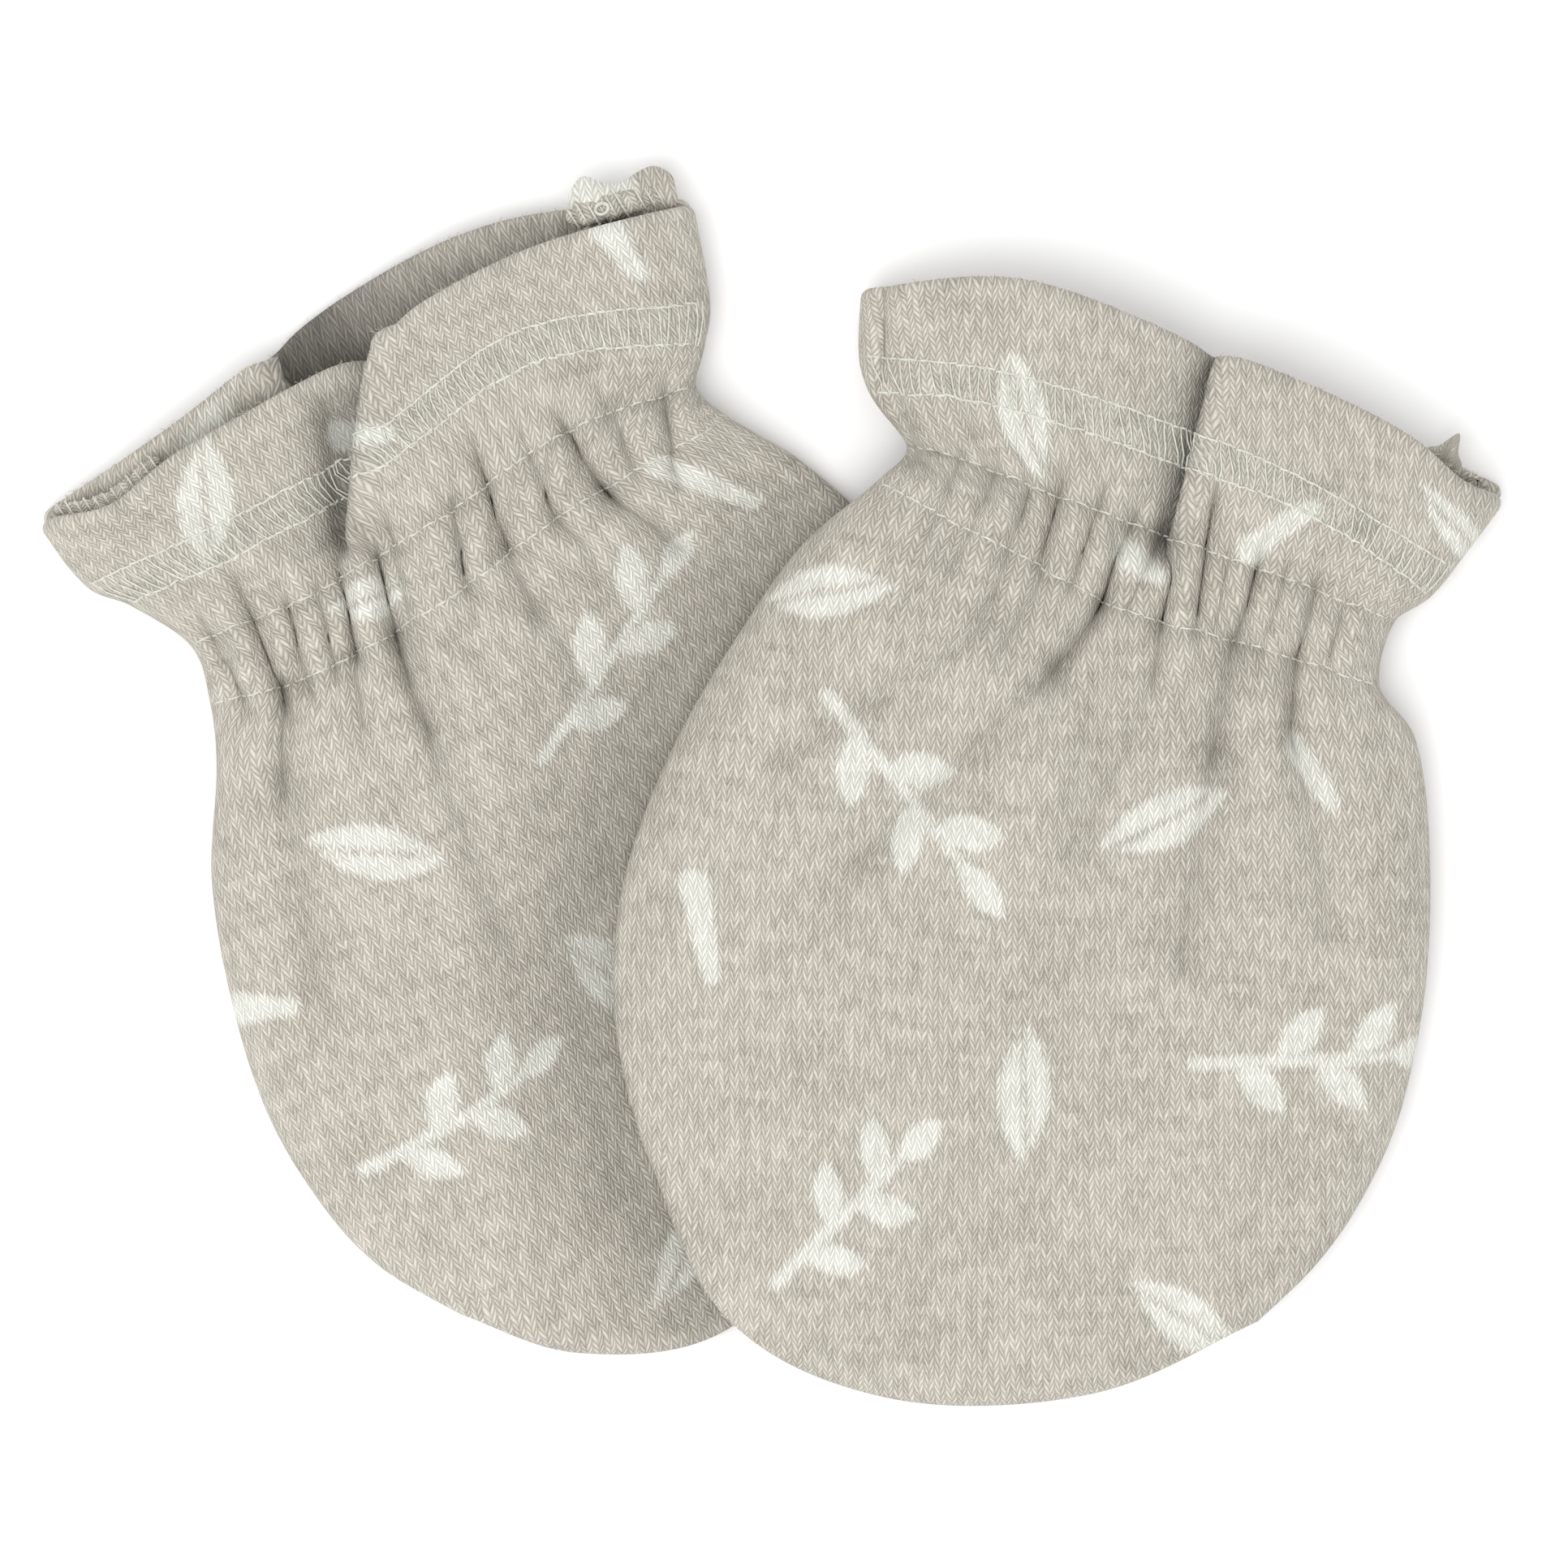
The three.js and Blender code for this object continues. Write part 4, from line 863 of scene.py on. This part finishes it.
def back_base(mitten, s, down):
    """The middle of a back's wall: flat where it lies, rounding up to the seam, standing up at the mouth."""
    place = inset_place(mitten, s, down, True)
    press = pressed(mitten, place)
    width = mix(BACK_ROUNDING, FLAT_ROUNDING, press)
    round_in = (rounded((1 - np.abs(s)) * row_value(mitten, "half_width", down), width)
                * rounded(mitten["end"] - down, width))
    seam = mix(SEAM_HEIGHT - SEAM_ROLL, FLAT_SEAM_HEIGHT - SEAM_GAP / 2, press)
    stand = (through(ACROSS, mitten["stands"][:, None, None], s)[:, 0]
             * (1 - smooth(down / row_down(mitten, 2))))
    gather = sum(rise * bell(s - across, half) for across, half, rise in BACK_GATHERS)
    near_casing = bell(down - BACK_GATHER_MIDDLE, BACK_GATHER_REACH)
    flat = row_value(mitten, "wall", down) / 2 + (stand + gather * near_casing) * round_in * (1 - press)
    z = lifted(mitten, place) + mix(seam, flat, round_in)
    return np.column_stack([place, z]), round_in * (1 - press), press


def back_form(mitten, s, down):
    base, free, _ = back_base(mitten, s, down)
    near_mouth = 1 - smooth(down / row_down(mitten, 2))
    place, drop = pleated(mitten["back_pleat"], base[:, :2], free * near_mouth, near_mouth)
    lowest = lifted(mitten, place) + row_value(mitten, "wall", down) / 2
    return np.column_stack([place, np.maximum(base[:, 2] - drop, np.minimum(base[:, 2], lowest))])


# Painted shade of a back: on its pleat's low side, where the left mitten's inside wall shows in its mouth.
def back_shade(mitten, s, down):
    base, free, _ = back_base(mitten, s, down)
    return np.clip(pleat_shade(mitten["back_pleat"], base[:, :2], free) + np.zeros(len(s)), 0, 1)


BACK = Panel(back_form, back_base, back_shade, -1, 1)
LEFT_BACK_PRINT = [
    Motif("dash", (-26, 2), 8, 9), Motif("leaf", (-13, 5), 70, 12), Motif("leaf", (12, 8), -40, 12),
    Motif("sprig", (-16, 46), 20, 18), Motif("leaf", (14, 40), -62, 13), Motif("dash", (30, 52), 34, 10),
    Motif("leaf", (-30, 68), -18, 12), Motif("sprig", (6, 72), -34, 19), Motif("dash", (-12, 88), 70, 10),
    Motif("leaf", (24, 82), 12, 12), Motif("leaf", (-20, -3), 24, 10),
]
RIGHT_BACK_PRINT = [Motif(m.kind, (-m.at[0], m.at[1] + 4), -m.turn + 30, m.length) for m in LEFT_BACK_PRINT]

for side, motifs in ((LEFT, LEFT_BACK_PRINT), (RIGHT, RIGHT_BACK_PRINT)):
    back = cloth_panel(
        f"{side['name']}_back_panel", side, BACK, seam_to_seam(64, 12, 0.16),
        end_to_hem(side, 52, 44, 10, 12, BACK_ROUNDING), motifs)
    back.data.materials.append(KNIT_FACE)
    back.data.materials.append(KNIT_INSIDE)
    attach(back, "root")
    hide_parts(f"{side['name']}_back")

# Seam ends. Past each mouth's right corner the overlocked seam allowances stand out as a thick soft tab. Inside
# the left mitten's mouth they also show as narrow rolls behind its front's edge, at both corners.
SeamEnd = namedtuple("SeamEnd", "of start stop inside outside thick motifs")
SEAM_ENDS = [
    SeamEnd(LEFT, 0.71, 1, -1.8, (1.6, 2.8, 1.9, 1.7, 2.6, 3.3, 2.9), 3.2, [Motif("dash", (2.2, 2.2), 10, 7)]),
    SeamEnd(RIGHT, 0.76, 0.88, -1.2, (0.3, 0.8, 2.6, 0.9, 0.3), 2, []),
]
Roll = namedtuple("Roll", "name of start stop back half lift")
ROLLS = [
    Roll("left_corner_roll", LEFT, -0.97, -0.6, 0.7, 0.8, 0.36),
    Roll("right_corner_roll", LEFT, 0.66, 0.985, 1.6, 1.2, 0.5),
]


def seam_end_points(end, along, out_share, up_share):
    """Places of a seam end: along it, out from its root to its rim, and up through it, all from 0 to 1."""
    s = mix(end.start, end.stop, along)
    edge = back_form(end.of, s, np.zeros(len(s)))
    out = edge - back_form(end.of, s, np.ones(len(s)))
    out[:, 2] = 0
    out /= np.linalg.norm(out, axis=1)[:, None]
    reach = through(np.linspace(0, 1, len(end.outside)), np.array(end.outside, dtype=float)[:, None, None], along)
    points = edge + out * mix(end.inside, reach, out_share[:, None])
    lumps = 1 + 0.12 * np.cos(17 * along + 2) * np.sin(np.pi * out_share)
    crown = (0.8 + 0.3 * np.sin(np.pi * out_share) - 0.2 * out_share) * lumps
    ends = rounded(np.minimum(along, 1 - along), 0.08)
    points[:, 2] = edge[:, 2] + HEM_WALL / 2 + 0.15 + end.thick * mix(0.5, up_share, ends * crown)
    return points


def roll_centre(roll, along):
    """The middle line of a roll, behind the front's edge and between the two panels."""
    s = mix(roll.start, roll.stop, along)
    edge = front_form(roll.of, s, np.zeros(len(s)))
    under = back_form(roll.of, s, np.zeros(len(s)))
    centre = edge.copy()
    centre[:, 1] += roll.back
    centre[:, 2] = mix(under[:, 2] + HEM_WALL / 2, edge[:, 2], roll.lift)
    return centre


def roll_points(roll, along, out_share, up_share):
    lumps = 1 + 0.1 * np.cos(46 * along) + 0.08 * np.cos(29 * along + 1)
    ends = rounded(np.minimum(along, 1 - along), 0.1)
    half = (roll.half * lumps * ends)[:, None]
    points = roll_centre(roll, along)
    points[:, 1:] += np.column_stack([out_share * 2 - 1, up_share * 2 - 1]) * half
    return points


SQUARENESS = 0.7
END_SQUARENESS = 0.35


def lump(name, of, place, motifs):
    """A closed soft piece of cloth: a sphere moved to place(along, out_share, up_share)."""
    bm = bmesh.new()
    bmesh.ops.create_uvsphere(bm, u_segments=44, v_segments=28, radius=1)
    unit = np.array([v.co[:] for v in bm.verts])
    angle = np.arctan2(unit[:, 0], unit[:, 1])
    section = np.hypot(unit[:, 0], unit[:, 1]) ** END_SQUARENESS
    out_share = 0.5 + 0.5 * np.sign(np.cos(angle)) * np.abs(np.cos(angle)) ** SQUARENESS * section
    up_share = 0.5 + 0.5 * np.sign(np.sin(angle)) * np.abs(np.sin(angle)) ** SQUARENESS * section
    along = 0.5 + 0.5 * unit[:, 2]
    points = laid(of, place(along, out_share, up_share)) * MM
    print_layer = bm.verts.layers.float.new("print_distance")
    printed = print_distance(motifs, along * 8, out_share * 3) if motifs else np.ones(len(along))
    for vert, point, distance in zip(bm.verts, points, printed):
        vert.co = point
        vert[print_layer] = distance
    bmesh.ops.recalc_face_normals(bm, faces=bm.faces)
    cloth_map = bm.loops.layers.uv.new("cloth")
    bm.verts.index_update()
    places = np.column_stack([along * 9, out_share * 4 + up_share]) / MAP_SIZE + 0.5
    for face in bm.faces:
        face.smooth = True
        for loop in face.loops:
            loop[cloth_map].uv = places[loop.vert.index]
    piece = new_piece(name, bm)
    piece.data.materials.append(KNIT_FACE)
    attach(piece, "root")
    return piece


for end in SEAM_ENDS:
    tab = lump(f"{end.of['name']}_seam_allowance", end.of,
               lambda along, out, up, end=end: seam_end_points(end, along, out, up), end.motifs)
    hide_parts(f"{end.of['name']}_seam_end")
for roll in ROLLS:
    lump(roll.name, roll.of, lambda along, out, up, roll=roll: roll_points(roll, along, out, up), [])

# Sewing threads. Fine pale polyester: two lines of stitches hold the elastic casing, and the hem is held by a
# coverstitch, two lines with a ladder of looper thread between them. They lie on the cloth and sink into it.
THREAD_HALF = 0.11


def thread_material():
    material = bpy.data.materials.new("pale_thread")
    material.use_nodes = True
    tree = material.node_tree
    shader = tree.nodes["Principled BSDF"]
    place = wired(tree, "ShaderNodeTexCoord").outputs["Object"]
    spun = wired(tree, "ShaderNodeTexNoise", {"Vector": place, "Scale": 1800, "Detail": 1}).outputs["Fac"]
    colour = wired(tree, "ShaderNodeMix", {"Factor": spun, 6: (0.38, 0.38, 0.33, 1), 7: (0.8, 0.81, 0.73, 1)},
                   data_type="RGBA").outputs[2]
    tree.links.new(colour, shader.inputs["Base Color"])
    shader.inputs["Roughness"].default_value = 0.6
    return material


THREAD = thread_material()


def on_cloth(mitten, panel, s, down, above):
    """Places above the outer face of a panel's cloth, which its folds carry."""
    step_s, step_down = 0.004, 0.15
    across = panel.form(mitten, s + step_s, down) - panel.form(mitten, s - step_s, down)
    along = panel.form(mitten, s, down + step_down) - panel.form(mitten, s, down - step_down)
    normal = np.cross(along, across) * panel.upward
    normal /= np.linalg.norm(normal, axis=1)[:, None]
    face = facing(panel.base, mitten, s, down, panel.upward)
    out = (row_value(mitten, "wall", down) - CLOTH) / 2
    points = panel.form(mitten, s, down) + face * out[:, None] + normal * (CLOTH / 2 + above)[:, None]
    return laid(mitten, points) * MM


def sewn(name, runs, half):
    """One piece of thread for all the runs, each an open line of points. None dips into the table."""
    curve = bpy.data.curves.new(name, "CURVE")
    curve.dimensions = "3D"
    curve.bevel_depth = half
    curve.bevel_resolution = 1
    curve.use_fill_caps = True
    for run in runs:
        spline = curve.splines.new("POLY")
        spline.points.add(len(run) - 1)
        spline.points.foreach_set("radius", [MM] * len(run))
        for point, (x, y, z) in zip(spline.points, run):
            point.co = (x, y, max(z, half * MM), 1)
    curve.materials.append(THREAD)
    piece = bpy.data.objects.new(name, curve)
    bpy.context.scene.collection.objects.link(piece)
    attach(piece, "root")
    return piece


def across_at(mitten, panel, down, lengths):
    """The ways across at the given lengths of cloth from the left seam, and the whole length."""
    s = np.linspace(-0.985, 0.985, 500)
    points = panel.form(mitten, s, np.full(len(s), float(down)))
    run = np.concatenate([[0], np.cumsum(np.linalg.norm(np.diff(points, axis=0), axis=1))])
    return np.interp(lengths, run, s), run[-1]


def stitch_line(mitten, panel, down, pitch, share, wander, seed):
    """A line of single stitches, each rising out of the cloth and going back into it."""
    draw = random.Random(seed)
    _, whole = across_at(mitten, panel, down, [0])
    runs = []
    for start in np.arange(0.3, whole - pitch, pitch):
        f = np.linspace(0, 1, 6)
        s, _ = across_at(mitten, panel, down, start + f * pitch * share)
        off, lean = draw.uniform(-wander, wander), draw.uniform(-wander, wander)
        downs = down + off + lean * (f - 0.5) * 2
        runs.append(on_cloth(mitten, panel, s, downs, draw.uniform(0.1, 0.17) * np.sin(np.pi * f) - 0.08))
    return runs


LADDER_PITCH = 1.8
LADDER_LEG = [(0, 0, 0.02), (0.1, 0.3, 0.1), (0.2, 0.7, 0.09), (0.26, 1.03, 0.02), (0.64, 1.05, -0.06),
              (0.84, 1.02, 0.02), (0.88, 0.7, 0.1), (0.96, 0.3, 0.1), (1.0, -0.02, 0.02), (1.4, -0.03, -0.07)]


def ladder(mitten, panel, upper, lower, seed):
    """The looper thread between two lines: down along the wales, back up beside itself, and along."""
    draw = random.Random(seed)
    _, whole = across_at(mitten, panel, upper, [0])
    points = []
    for start in np.arange(0.6, whole - LADDER_PITCH, LADDER_PITCH):
        lean = draw.uniform(-0.25, 0.25)
        points += [(start + a + lean * f, upper + (lower - upper) * f, above) for a, f, above in LADDER_LEG]
    lengths, downs, above = np.array(points).T
    s, _ = across_at(mitten, panel, (upper + lower) / 2, lengths)
    return [on_cloth(mitten, panel, s, downs, above)]


for side in (LEFT, RIGHT):
    upper_cover, lower_cover, upper, lower = (row_down(side, i) for i in (1, 2, 3, 4))
    for panel_name, panel, seed in (("front", FRONT, 41), ("back", BACK, 57)):
        casing = (stitch_line(side, panel, upper, 1.45, 0.76, 0.16, seed)
                  + stitch_line(side, panel, lower, 1.45, 0.76, 0.16, seed + 1))
        sewn(f"{side['name']}_{panel_name}_casing_stitches", casing, THREAD_HALF)
        cover = (stitch_line(side, panel, upper_cover, 0.9, 0.86, 0.1, seed + 2)
                 + stitch_line(side, panel, lower_cover, 0.9, 0.86, 0.12, seed + 3))
        sewn(f"{side['name']}_{panel_name}_hem_stitches", cover, THREAD_HALF)
        sewn(f"{side['name']}_{panel_name}_hem_ladder",
             ladder(side, panel, upper_cover, lower_cover, seed + 4), THREAD_HALF * 0.8)

# Overlocking. Looper threads wind round the cut seam allowances inside the left mitten's mouth, and one larger
# loop stands open as an eyelet.
WIND_PITCH = 0.95
for roll in ROLLS:
    along = np.linspace(0.04, 0.96, 400)
    centre = roll_centre(roll, along)
    way = np.concatenate([[0], np.cumsum(np.linalg.norm(np.diff(centre, axis=0), axis=1))])
    turns = 2 * np.pi * way / WIND_PITCH
    half = roll.half * (1 + 0.1 * np.cos(46 * along)) + THREAD_HALF * 0.5
    centre[:, 1] += half * np.cos(turns)
    centre[:, 2] += half * np.sin(turns)
    sewn(f"{roll.name}_overlocking", [laid(roll.of, centre) * MM], THREAD_HALF * 0.9)

EYELET_AT = 0.34
EYELET_HALF = 0.62
angle = np.linspace(0, 2 * np.pi, 25)
eyelet = np.repeat(roll_centre(ROLLS[1], np.array([EYELET_AT])), len(angle), axis=0)
eyelet[:, 0] += EYELET_HALF * np.cos(angle)
eyelet[:, 1] += EYELET_HALF * 0.8 * np.sin(angle)
eyelet[:, 2] += ROLLS[1].half + 0.1
sewn("left_seam_eyelet", [laid(LEFT, eyelet) * MM], THREAD_HALF * 1.6)

# Loose fibres. The brushed cotton stands up as a faint fuzz along the mouths' folds.
FIBRE_HALF = 0.018
FIBRES = 150
lint = bpy.data.materials.new("cotton_lint")
lint.use_nodes = True
lint_shader = lint.node_tree.nodes["Principled BSDF"]
lint_shader.inputs["Base Color"].default_value = (0.6, 0.56, 0.49, 1)
lint_shader.inputs["Roughness"].default_value = 0.9


def fibres(mitten, panel, seed):
    """Short bent fibres standing out of a hem's fold."""
    draw = random.Random(seed)
    s = np.array([draw.uniform(-0.95, 0.95) for _ in range(FIBRES)])
    fold = np.full(FIBRES, FOLD_DOWN)
    root = cloth_points(mitten, panel, s, fold, np.zeros(FIBRES), np.ones(FIBRES), np.zeros(FIBRES))
    root[:, 1] += CLOTH / 2 - 0.05
    runs = []
    for place in root:
        way = np.array([draw.uniform(-0.6, 0.6), draw.uniform(0.1, 0.4), draw.uniform(-0.2, 0.6)])
        bend = np.array([draw.uniform(-0.3, 0.3), draw.uniform(-0.25, 0.1), draw.uniform(-0.2, 0.2)])
        steps = np.linspace(0, 1, 5)[:, None]
        runs.append(laid(mitten, place + way * steps + bend * steps**2) * MM)
    return runs


for side, seed in ((LEFT, 71), (RIGHT, 83)):
    fuzz = sewn(f"{side['name']}_mouth_fibres", fibres(side, FRONT, seed) + fibres(side, BACK, seed + 1), FIBRE_HALF)
    fuzz.data.bevel_resolution = 0
    fuzz.data.materials.clear()
    fuzz.data.materials.append(lint)

# The table, a large soft light from the lower left and an even pale room, as for a cut-out. The camera looks
# straight down from far enough off that the mittens keep their outlines.
TABLE_HALF = 0.3
table_mesh = bmesh.new()
bmesh.ops.create_grid(table_mesh, x_segments=1, y_segments=1, size=TABLE_HALF)
table = new_piece("table", table_mesh)
table_paint = bpy.data.materials.new("pale_table")
table_paint.use_nodes = True
table_shader = table_paint.node_tree.nodes["Principled BSDF"]
table_shader.inputs["Base Color"].default_value = (0.93, 0.93, 0.93, 1)
table_shader.inputs["Roughness"].default_value = 0.9
table.data.materials.append(table_paint)

room = bpy.data.worlds.new("pale_room")
room.use_nodes = True
room.node_tree.nodes["Background"].inputs["Color"].default_value = (1, 1, 1, 1)
room.node_tree.nodes["Background"].inputs["Strength"].default_value = 0.98
bpy.context.scene.world = room
bpy.context.scene.view_settings.view_transform = "Standard"

lamp = bpy.data.lights.new("soft_box", "AREA")
lamp.energy = 5
lamp.shape = "SQUARE"
lamp.size = 0.7
soft_box = bpy.data.objects.new("soft_box", lamp)
soft_box.location = (-0.22, -0.3, 0.9)
soft_box.rotation_euler = (-soft_box.location).to_track_quat("-Z", "Y").to_euler()
bpy.context.scene.collection.objects.link(soft_box)

VIEW_WIDTH = 0.1468
VIEW_CENTRE = (0.00114, 0.00048)
CAMERA_HEIGHT = 0.9
OUTLINE_HEIGHT = 0.003
lens = bpy.data.cameras.new("camera")
lens.sensor_width = 36
lens.lens = lens.sensor_width * (CAMERA_HEIGHT - OUTLINE_HEIGHT) / VIEW_WIDTH
camera = bpy.data.objects.new("camera", lens)
camera.location = (*VIEW_CENTRE, CAMERA_HEIGHT)
bpy.context.scene.collection.objects.link(camera)
bpy.context.scene.camera = camera
